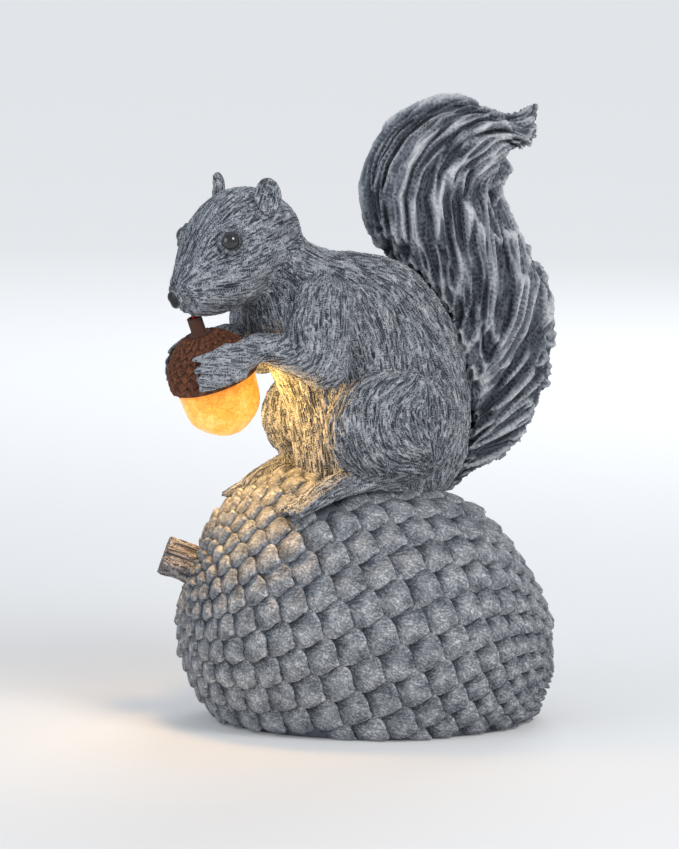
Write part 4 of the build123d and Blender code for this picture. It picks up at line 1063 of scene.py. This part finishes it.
@dataclass
class Tail:
    """The swept tail: deep locks that follow its curve and fray at its rear edge."""

    shop: Workshop
    voxel: float = 1.2
    height: float = 155
    depth: float = 85
    front: float = 3
    spine_steps: int = 220
    batch: int = 20000
    chords: tuple[tuple[float, float, float, float], ...] = (
        (0.318, -0.020, 0.450, -0.040),
        (0.388, 0.052, 0.741, 0.052),
        (0.440, 0.150, 0.910, 0.150),
        (0.435, 0.310, 0.994, 0.310),
        (0.350, 0.420, 1.000, 0.420),
        (0.210, 0.530, 0.945, 0.530),
        (0.070, 0.640, 0.820, 0.630),
        (0.012, 0.750, 0.715, 0.725),
        (0.035, 0.836, 0.712, 0.766),
        (0.116, 0.912, 0.741, 0.787),
        (0.247, 0.965, 0.812, 0.839),
        (0.408, 0.994, 0.841, 0.848),
        (0.568, 0.986, 0.859, 0.858),
        (0.701, 0.956, 0.887, 0.865),
        (0.807, 0.947, 0.912, 0.890),
        (0.895, 0.968, 0.925, 0.912),
        (0.922, 0.978, 0.938, 0.945),
    )
    lean: tuple[tuple[float, float], ...] = (
        (0, 100),
        (22, 78),
        (55, 52),
        (100, 34),
        (140, 22),
        (190, 12),
        (240, 4),
    )

    def spine(self) -> tuple[Array, Array, Array, Array]:
        """Gives fine steps along the tail.

        Returns:
            The front ends, rear ends and middles of the chords, and the run to each middle.
        """
        table = np.array(self.chords)
        steps = np.linspace(0, len(table) - 1, self.spine_steps)
        rows = np.stack([np.interp(steps, range(len(table)), column) for column in table.T], axis=1)
        fronts = np.stack([self.front + rows[:, 0] * self.depth, rows[:, 1] * self.height], axis=1)
        rears = np.stack([self.front + rows[:, 2] * self.depth, rows[:, 3] * self.height], axis=1)
        middles = (fronts + rears) / 2
        runs = np.concatenate([[0], np.cumsum(np.linalg.norm(np.diff(middles, axis=0), axis=1))])
        return fronts, rears, middles, runs

    def along_spine(self, own: Array) -> Array:
        """Lays out the tail flat.

        Args:
            own: Places in the squirrel's directions, in millimetres.

        Returns:
            Run along the spine, offset toward the rear edge and offset across, in millimetres.
        """
        fronts, rears, _, runs = self.spine()
        chord = rears - fronts
        result = np.empty_like(own)
        flat = own[:, [0, 2]]
        for start in range(0, len(own), self.batch):
            part = flat[start : start + self.batch]
            share = np.einsum("nkd,kd->nk", part[:, None] - fronts, chord) / np.sum(chord**2, axis=1)
            share = np.clip(share, -0.1, 1.1)
            gap = np.linalg.norm(part[:, None] - fronts - share[:, :, None] * chord, axis=2)
            best = np.argmin(gap, axis=1)
            result[start : start + self.batch, 0] = runs[best]
            offset = (share[np.arange(len(part)), best] - 0.5) * np.linalg.norm(chord[best], axis=1)
            result[start : start + self.batch, 1] = offset
        result[:, 2] = own[:, 1]
        return result

    def sweep(self, laid: Array) -> Array:
        """Gives the way of the hair on the laid-out tail: along the spine and out to the rear edge."""
        turn = np.interp(laid[:, 0], *np.array(self.lean).T)
        turn = np.radians(turn * (0.62 + 0.38 * ramp(laid[:, 1], -12, 18)))
        return np.stack([np.cos(turn), np.sin(turn), np.zeros(len(laid))], axis=1)

    def combed_way(self, laid: Array, own: Array, skin: Array) -> Array:
        """Turns the laid-out sweep into directions on the tail, from how the layout changes over it."""
        fronts, rears, middles, runs = self.spine()
        forth = unit(np.gradient(middles, axis=0))
        out = unit(rears - fronts)
        way = self.sweep(laid)
        flat = sum(
            way[:, [part]] * np.stack([np.interp(laid[:, 0], runs, column) for column in side.T], axis=1)
            for part, side in ((0, forth), (1, out))
        )
        ways = POSE.outer(np.stack([flat[:, 0], np.zeros(len(own)), flat[:, 1]], axis=1))
        return unit(ways - np.sum(ways * skin, axis=1, keepdims=True) * skin)

    def build(self) -> None:
        """Combs the tail into locks."""
        quick = self.shop.quick
        form = merged(self.shop.nodes["tail"])
        piece = remeshed("fur_tail", form, 2.2 if quick else self.voxel, 0)
        mesh = piece.data
        place_points(mesh, relaxed(positions(mesh), edge_pairs(mesh), 4, 0.5))
        if not quick:
            subdivide(piece, 1)
            mesh = piece.data
        points, pairs = positions(mesh), edge_pairs(mesh)
        skin = unit(relaxed(normals(mesh), pairs, 5))
        own = POSE.own(points)
        laid = self.along_spine(own)
        laid = relaxed(laid, pairs, 6)
        locks = Grain(31).strokes(laid, self.sweep, 6.0, 100)
        strands = ridges(Grain(33).strokes(laid, self.sweep, 2.7, 84), 1.0)
        hairs = ridges(Grain(37).strokes(laid, self.sweep, 1.0, 34), 1.1)
        valley = np.exp(-(locks**2) / 0.16)
        tip = ramp(laid[:, 0], 235, 215)
        rise = -2.2 * valley + 2.0 * (strands - 0.5) + 0.30 * (hairs - 0.5) + 0.6 * np.clip(locks, -1.5, 1.5)
        rise *= 0.35 + 0.65 * tip
        band = ramp(own[:, 2], 6, -2)
        rise *= 1 - 0.7 * band
        frill = ramp(laid[:, 1], 14, 30)
        rise += frill * (2.6 * np.clip(locks, -1.6, 1.0) - 1.3)
        place_points(mesh, points + skin * (rise * MM)[:, None])
        relief = 0.12 + 0.72 * strands + 0.14 * hairs + 0.12 * np.clip(locks, -1, 1) - 0.50 * valley
        store(mesh, Field.RELIEF.value, np.clip(relief, 0, 1))
        store(mesh, Field.FLOW.value, self.combed_way(laid, own, skin))
        self.shop.seat(piece, "tail fur", "figure_stone", "tail")


@dataclass
class Scales:
    """Overlapping craggy scales, one on each CAD tile."""

    shop: Workshop
    name: str
    node: str
    ground: str
    axis: Vector
    finish: str
    slot: str
    lift: float
    skirt: float
    across_count: int = 10
    along_count: int = 11
    peak: float = 0.6
    seed: int = 7
    floor: float | None = None
    ground_radius: float = 17
    refill_height: float = 60 * MM
    same_ring: float = 0.06
    least_ring: int = 5
    same_place: float = 0.55
    refill_rooms: tuple[tuple[tuple[str, ...], float], ...] = (
        (("leg_left", "leg_right"), 1.0),
        (("torso", "tail"), -5.0),
        (("base_stem", "solar_panel", "panel_seal"), 8.0),
    )

    def template(self) -> bpy.types.Mesh:
        """Makes a closed tile of a grid and its skirt."""
        form = bmesh.new()
        bmesh.ops.create_grid(form, x_segments=self.along_count, y_segments=self.across_count, size=1)
        down = bmesh.ops.extrude_face_region(form, geom=list(form.faces), use_keep_orig=True)
        low = [item for item in down["geom"] if isinstance(item, bmesh.types.BMVert)]
        bmesh.ops.translate(form, verts=low, vec=(0, 0, -1))
        bmesh.ops.recalc_face_normals(form, faces=form.faces)
        bmesh.ops.dissolve_limit(
            form,
            angle_limit=0.01,
            verts=[vert for vert in form.verts if vert.co.z < -0.5],
            edges=[edge for edge in form.edges if all(vert.co.z < -0.5 for vert in edge.verts)],
        )
        mesh = bpy.data.meshes.new("tile")
        form.to_mesh(mesh)
        form.free()
        return mesh

    def shaped(self, grid: Array, spin: np.random.Generator) -> tuple[Array, Array]:
        """Rounds and roughens one tile.

        Args:
            grid: The template's points from -1 to 1.
            spin: Source of each tile's own roughness.

        Returns:
            The tile's points, with x and y from -1 to 1 and z in millimetres, and their relief, which is lowered
            toward the root and is zero on the skirt as painted shade.
        """
        run, side, top = grid[:, 0], grid[:, 1], grid[:, 2] > -0.5
        root = 0.62 + 0.38 * ramp(run, -1, 0.05)
        tip = np.abs(1 - np.clip((run - 0.05) / 0.95, 0, 1) ** 2.5) ** 0.5
        wide = np.where(run < 0.05, root, tip)
        wide = np.maximum(wide, 0.24) * (1 + 0.04 * np.sin(run * 7 + spin.uniform(0, 6)))
        bow = run - 0.16 * side**2 * ramp(run, -0.2, 1)
        x, y = bow, side * wide
        peak = np.array([spin.uniform(0.15, 0.45), spin.uniform(-0.3, 0.3)])
        gap = np.hypot((x - peak[0]) * 0.9, y - peak[1])
        turn = np.arctan2(y - peak[1], x - peak[0])
        facet = np.abs(np.cos(1.5 * turn + spin.uniform(0, 3)))
        grade = -0.25 + 1.25 * ((x + 1) / 2) ** 0.9
        rise = self.lift * grade * (1 - 0.22 * y**2)
        rise = rise + self.peak * (np.clip(1 - gap / 0.75, 0, 1) + 0.35 * facet * np.clip(1 - gap, 0, 1) - 0.25)
        rise = rise + spin.normal(0, 0.12 * self.peak, len(x))
        edge = np.maximum(np.abs(side), ramp(run, 0.55, 1.0) * np.abs(run))
        rise = rise - 0.30 * self.lift * ramp(edge, 0.86, 1.0)
        relief = 0.34 + 0.34 * np.clip(1 - gap / 0.9, 0, 1) + 0.22 * facet
        relief = relief + 0.30 * ramp(edge, 0.74, 0.95) * ramp(x, -0.3, 0.4)
        # Darker toward the root, where the scale in front overlaps it: painted shade.
        relief = relief - 0.42 * ramp(x, 0.15, -0.55)
        z = np.where(top, rise, -self.skirt)
        # The skirt takes the lowest relief, so its sides render darkest: painted shade under each scale's free
        # edge.
        relief = np.where(top, relief, 0.0)
        return np.stack([x, y, z], axis=1), relief

    def is_open(self, spot: Array, rooms: list[tuple[BVHTree, float]]) -> bool:
        """Tells whether a whole tile has room at a place on top of the base.

        Args:
            spot: The tile's middle.
            rooms: Each piece that it keeps clear of, and by how many millimetres.

        Returns:
            Whether it has room.
        """
        if spot[2] < self.refill_height:
            return False
        for tree, room in rooms:
            near, out, _, gap = tree.find_nearest(Vector(spot))
            if (Vector(spot) - near).dot(out) < 0:
                gap = -gap
            if gap < room * MM:
                return False
        return True

    def refilled(self, groups: list[Array]) -> list[Array]:
        """Carries the rings of tiles on up to the feet and under the haunches.

        Args:
            groups: The points of each CAD tile.

        Returns:
            The points of the tiles that stay and of the whole tiles added.
        """
        rooms = [(tree_of(self.shop.nodes[name]), room) for names, room in self.refill_rooms for name in names]
        axis = np.array(self.axis)
        across = np.linalg.svd(axis[None])[2][1:]
        middles = np.array([cloud.mean(axis=0) for cloud in groups])
        along, flat = middles @ axis, middles @ across.T
        free, rings = set(range(len(groups))), []
        while free:
            first = min(free)
            limit = self.same_ring * MM
            ring = [number for number in sorted(free) if abs(along[number] - along[first]) < limit]
            free -= set(ring)
            if len(ring) >= self.least_ring:
                rings.append(ring)
        widest = flat[max(rings, key=len)]
        circle = np.c_[2 * widest, np.ones(len(widest))]
        center = np.linalg.lstsq(circle, np.sum(widest**2, axis=1), rcond=None)[0][:2]
        hub = center @ across
        turns = np.sort(np.arctan2(*(widest - center).T))
        count = round(math.tau / float(np.median(np.diff(turns))))
        dropped, added = set(), []
        for ring in rings:
            donor = groups[ring[0]] - hub
            radius = np.linalg.norm(flat[ring[0]] - center)
            for turn in range(count):
                spin = np.array(Matrix.Rotation(turn * math.tau / count, 3, self.axis))
                cloud = donor @ spin.T + hub
                spot = cloud.mean(axis=0)
                if not self.is_open(spot, rooms):
                    continue
                near = np.linalg.norm(middles - spot, axis=1) < self.same_place * radius * math.tau / count
                if any(number in ring for number in np.flatnonzero(near)):
                    continue
                dropped |= set(np.flatnonzero(near))
                added.append(cloud)
        LOG.info("%s: %d tiles added, %d cut ones left out", self.name, len(added), len(dropped))
        return [cloud for number, cloud in enumerate(groups) if number not in dropped] + added

    def build(self) -> None:
        """Lays a tile on each CAD tile."""
        source = merged(self.shop.nodes[self.node])
        ground = tree_of(self.shop.nodes[self.ground])
        groups = [np.array([vert.co for vert in group]) for group in islands(source)]
        if self.floor is not None:
            groups = self.refilled(groups)
        source.free()
        tile = self.template()
        grid = positions(tile)
        form = bmesh.new()
        spin = np.random.default_rng(self.seed)
        points, relief, place = [], [], []
        for cloud in groups:
            middle = Vector((cloud.min(axis=0) + cloud.max(axis=0)) / 2)
            spot, up, _, _ = ground.find_nearest(middle)
            run = (self.axis - up * self.axis.dot(up)).normalized()
            side = up.cross(run)
            local = (cloud - np.array(spot)) @ np.array([run, side, up]).T
            low, high = local.min(axis=0), local.max(axis=0)
            shape, height = self.shaped(grid, spin)
            x = (low[0] + high[0]) / 2 + shape[:, 0] * (high[0] - low[0]) / 2 * 1.06
            y = (low[1] + high[1]) / 2 + shape[:, 1] * (high[1] - low[1]) / 2 * 1.05
            sag = -(x**2 + y**2) / (2 * self.ground_radius * MM)
            z = shape[:, 2] * MM + sag
            moved = np.array(spot) + np.outer(x, run) + np.outer(y, side) + np.outer(z, up)
            form.from_mesh(tile)
            points.append(moved)
            relief.append(height)
            key = np.full(len(grid), spin.uniform(0, 1))
            place.append(np.stack([shape[:, 0], shape[:, 1], key], axis=1))
        piece = fresh_object(self.name, form)
        mesh = piece.data
        place_points(mesh, np.concatenate(points))
        store(mesh, Field.RELIEF.value, np.clip(np.concatenate(relief), 0, 1))
        store(mesh, Field.PLACE.value, np.concatenate(place))
        if self.floor is not None:
            self.trim(mesh)
        mesh.set_sharp_from_angle(angle=math.radians(50))
        bpy.data.meshes.remove(tile)
        self.shop.seat(piece, self.finish, self.slot, self.node)

    def trim(self, mesh: bpy.types.Mesh) -> None:
        """Cuts the tiles off just above the floor and closes the cuts."""
        form = bmesh.new()
        form.from_mesh(mesh)
        low = Vector((0, 0, self.floor))
        geom = list(form.verts) + list(form.edges) + list(form.faces)
        bmesh.ops.bisect_plane(form, geom=geom, plane_co=low, plane_no=(0, 0, 1), clear_inner=True)
        bmesh.ops.holes_fill(form, edges=[edge for edge in form.edges if edge.is_boundary], sides=0)
        form.to_mesh(mesh)
        form.free()


@dataclass
class Base:
    """The shell that shows between the scales, and its stem."""

    shop: Workshop

    def build(self) -> None:
        """Finishes the shell and roughens the stem."""
        self.shop.coat("ground", self.shop.nodes["base_shell"])
        piece = remeshed("bark_stem", merged(self.shop.nodes["base_stem"]), 0.6, 0 if self.shop.quick else 1)
        mesh = piece.data
        pairs = edge_pairs(mesh)
        points = relaxed(positions(mesh), pairs, 3, 0.5)
        skin = unit(relaxed(normals(mesh), pairs, 3))
        axis = np.array([-0.94, 0.0, 0.34])

        def lie(places: Array) -> Array:
            """Lets the bark run along the stem, wherever the places are."""
            return unit(axis - (skin @ axis)[:, None] * skin)

        bark = ridges(Grain(41).strokes(points / MM, lie, 1.5, 10))
        place_points(mesh, points + skin * ((bark - 0.6) * 0.6 * MM)[:, None])
        store(mesh, Field.RELIEF.value, 0.34 + 0.30 * bark)
        store(mesh, Field.FLOW.value, lie(points))
        self.shop.seat(piece, "stem", "stem_stone", "base_stem")


@dataclass
class Acorn:
    """The small acorn in the hands: its cap and its glowing nut."""

    shop: Workshop

    def build(self) -> None:
        """Finishes the cap and lays a lumpy skin over the nut."""
        self.shop.coat("cap", self.shop.nodes["acorn_cap"])
        piece = remeshed("amber_nut", merged(self.shop.nodes["acorn_nut"]), 0.6, 0)
        mesh = piece.data
        pairs = edge_pairs(mesh)
        points = relaxed(positions(mesh), pairs, 6, 0.5)
        skin = unit(relaxed(normals(mesh), pairs, 3))
        lumps = 0.35 * Grain(51).sample(points / MM, 5.0) + 0.12 * Grain(52).sample(points / MM, 1.8)
        place_points(mesh, points + skin * ((lumps - 0.15) * MM)[:, None])
        piece.visible_shadow = False
        self.shop.seat(piece, "amber", "nut_amber", "acorn_nut")


@dataclass
class Fittings:
    """The CAD pieces that keep their shape and only get a finish."""

    shop: Workshop
    finishes: dict[str, tuple[str, ...]] = field(
        default_factory=lambda: {
            "plate": ("base_plate", "battery_door"),
            "dark": ("led_holder", "switch_slider", "panel_seal"),
            "wire": ("lamp_wire", "panel_wire", "battery_wires"),
            "cells": ("solar_panel",),
            "steel": (
                "door_screw",
                "plate_screws",
                "board_screws",
                "battery_contacts",
                "battery_spring",
                "switch_body",
            ),
            "board": ("circuit_board",),
            "chips": ("board_components",),
            "cell": ("battery",),
            "lamp": ("led",),
        }
    )

    def build(self) -> None:
        """Gives each piece its finish."""
        for finish, names in self.finishes.items():
            for name in names:
                self.shop.coat(finish, self.shop.nodes[name])
                LOG.info("%s keeps its shape", name)


@dataclass
class Studio:
    """A pale floor, soft lamps and the camera at the photograph's angle."""

    elevation: float = math.radians(7.5)
    distance: float = 2.4
    target: Vector = field(default_factory=lambda: Vector((-6.84, 0, 119.6)) * MM)
    frame_height: float = 341.7 * MM
    pool_radius: float = 0.15
    far_radius: float = 1.8
    near_glow: float = 0.14
    far_glow: float = 0.52

    def build(self) -> None:
        """Sets everything up."""
        self.camera()
        self.floor()
        self.lamps()
        bpy.context.scene.view_settings.view_transform = "Standard"

    def camera(self) -> None:
        """Places the camera."""
        data = bpy.data.cameras.new("camera")
        data.sensor_fit = "VERTICAL"
        data.sensor_height = 24
        data.lens = 24 * self.distance / self.frame_height
        data.clip_end = 20
        camera = bpy.data.objects.new("camera", data)
        away = Vector((0, -math.cos(self.elevation), math.sin(self.elevation)))
        camera.location = self.target + away * self.distance
        camera.rotation_euler = (-away).to_track_quat("-Z", "Y").to_euler()
        bpy.context.scene.collection.objects.link(camera)
        bpy.context.scene.camera = camera

    def floor(self) -> None:
        """Makes the floor and the world."""
        form = bmesh.new()
        bmesh.ops.create_grid(form, x_segments=2, y_segments=2, size=6)
        floor = fresh_object("floor", form)
        floor.data.transform(Matrix.Translation((0, 0, -0.2 * MM)))
        graph = Graph("floor")
        reach = graph.add("ShaderNodeVectorMath", operation="LENGTH")
        graph.feed(reach.inputs[0], graph.coords)
        far = graph.spread(reach.outputs["Value"], self.pool_radius, self.far_radius)
        path = graph.add("ShaderNodeLightPath")
        seen = graph.math("MULTIPLY_ADD", far, self.far_glow - self.near_glow, self.near_glow)
        seen = graph.math("MULTIPLY", seen, path.outputs["Is Camera Ray"])
        pale = (0.78, 0.78, 0.78, 1)
        floor.data.materials.append(graph.finish(base_color=pale, roughness=0.9, emission_color=pale))
        graph.feed(graph.shader.inputs["Emission Strength"], seen)
        world = bpy.data.worlds.new("studio")
        bpy.context.scene.world = world
        world.use_nodes = True
        tree = world.node_tree
        light = tree.nodes["Background"]
        light.inputs["Color"].default_value = (0.86, 0.92, 1.0, 1)
        light.inputs["Strength"].default_value = 0.50
        seen = tree.nodes.new("ShaderNodeBackground")
        seen.inputs["Color"].default_value = (0.93, 0.94, 0.95, 1)
        seen.inputs["Strength"].default_value = 1
        path = tree.nodes.new("ShaderNodeLightPath")
        mixed = tree.nodes.new("ShaderNodeMixShader")
        tree.links.new(path.outputs["Is Camera Ray"], mixed.inputs["Fac"])
        tree.links.new(light.outputs[0], mixed.inputs[1])
        tree.links.new(seen.outputs[0], mixed.inputs[2])
        tree.links.new(mixed.outputs[0], tree.nodes["World Output"].inputs["Surface"])

    def lamps(self) -> None:
        """Hangs the soft lamps, and the small warm one in the nut."""
        places = (
            ("key", Vector((0.75, -0.85, 1.05)), 0.55, 9.0, (1.0, 0.98, 0.95)),
            ("fill", Vector((-1.1, -0.7, 0.55)), 0.9, 4.5, (0.90, 0.95, 1.0)),
            ("rim", Vector((0.3, 1.2, 0.9)), 0.7, 6.0, (0.95, 0.97, 1.0)),
        )
        for name, place, size, power, color in places:
            data = bpy.data.lights.new(name, "AREA")
            data.size = size
            data.energy = power
            data.color = color
            lamp = bpy.data.objects.new(name, data)
            lamp.location = place
            lamp.rotation_euler = (self.target - place).to_track_quat("-Z", "Y").to_euler()
            bpy.context.scene.collection.objects.link(lamp)
        low, high = (Vector(corner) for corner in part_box("acorn_nut"))
        data = bpy.data.lights.new("glow", "POINT")
        data.shadow_soft_size = 12 * MM
        data.energy = 0.24
        data.color = (1.0, 0.55, 0.12)
        glow = bpy.data.objects.new("glow", data)
        glow.location = (low + high) / 2
        bpy.context.scene.collection.objects.link(glow)


def make_finishes() -> dict[str, bpy.types.Material]:
    """Builds every finish by its key."""
    low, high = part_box("acorn_nut")
    makers = {
        "fur": Stone("carved fur"),
        "tail fur": Stone("carved tail", relief_share=0.78, stroke=2.0, stroke_length=13.0, hair_share=0.20),
        "stem": Stone(
            "stem bark", middle=(0.15, 0.135, 0.14), high=(0.46, 0.42, 0.42), crest=(0.66, 0.62, 0.61)
        ),
        "ground": Stone(
            "slate ground",
            high=(0.20, 0.215, 0.245),
            crest=(0.32, 0.33, 0.36),
            carved=False,
            pit=1.4,
            pit_depth=0.5,
        ),
        "crag": Crag(
            "base scales",
            low=(0.016, 0.020, 0.028),
            middle=(0.105, 0.120, 0.150),
            high=(0.40, 0.42, 0.455),
            crest=(0.72, 0.73, 0.75),
        ),
        "cap": Moulding("cap brown", (0.075, 0.026, 0.012), 0.7, 0.8, 0.15),
        "cap crag": Crag(
            "cap scales",
            low=(0.018, 0.006, 0.003),
            middle=(0.085, 0.026, 0.011),
            high=(0.24, 0.075, 0.030),
            crest=(0.42, 0.17, 0.08),
            pit=0.6,
            fan=5.0,
        ),
        "amber": Amber("amber nut", high[2], low[2]),
        "eye": Moulding("eye", (0.006, 0.006, 0.007), 0.08, 2.0, 0.0, 1.0),
        "plate": Moulding("plate plastic", (0.030, 0.031, 0.033), 0.55),
        "dark": Moulding("dark plastic", (0.012, 0.012, 0.013), 0.45),
        "wire": Moulding("wire sleeve", (0.30, 0.015, 0.012), 0.42),
        "cells": Cells("solar cells"),
        "steel": Metal("plated steel", (0.55, 0.55, 0.54)),
        "board": Moulding("solder mask", (0.010, 0.085, 0.035), 0.30),
        "chips": Moulding("chips", (0.016, 0.016, 0.017), 0.40),
        "cell": Moulding("cell sleeve", (0.020, 0.11, 0.055), 0.25, coat=0.4),
        "lamp": Moulding("lamp resin", (0.90, 0.68, 0.30), 0.12, coat=0.6),
    }
    return {key: maker.material() for key, maker in makers.items()}


def main() -> None:
    """Builds and dresses the whole figurine."""
    logging.basicConfig(level=logging.INFO, format="%(message)s")
    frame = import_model()
    shop = Workshop(frame["nodes"], quick=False, finishes=make_finishes())
    Studio().build()
    Base(shop).build()
    tilt = math.radians(20)
    base_axis = Vector((math.cos(tilt), 0, -math.sin(tilt)))
    Scales(
        shop,
        "crag_base",
        "base_scales",
        "base_shell",
        base_axis,
        "crag",
        "base_stone",
        lift=3.1,
        skirt=2.5,
        floor=0.6 * MM,
        ground_radius=58,
    ).build()
    low, high = (Vector(corner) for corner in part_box("acorn_nut"))
    cap_low, cap_high = (Vector(corner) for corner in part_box("acorn_cap"))
    cap_axis = ((low + high) - (cap_low + cap_high)).normalized()
    Scales(
        shop,
        "crag_cap",
        "acorn_cap_scales",
        "acorn_cap",
        cap_axis,
        "cap crag",
        "cap_brown",
        lift=0.95,
        skirt=1.0,
        across_count=5,
        along_count=6,
        peak=0.25,
        seed=9,
    ).build()
    Acorn(shop).build()
    animal = Animal(shop)
    animal.build()
    animal.eyes()
    animal.ears()
    Tail(shop).build()
    Fittings(shop).build()


if __name__ == "__main__":
    main()
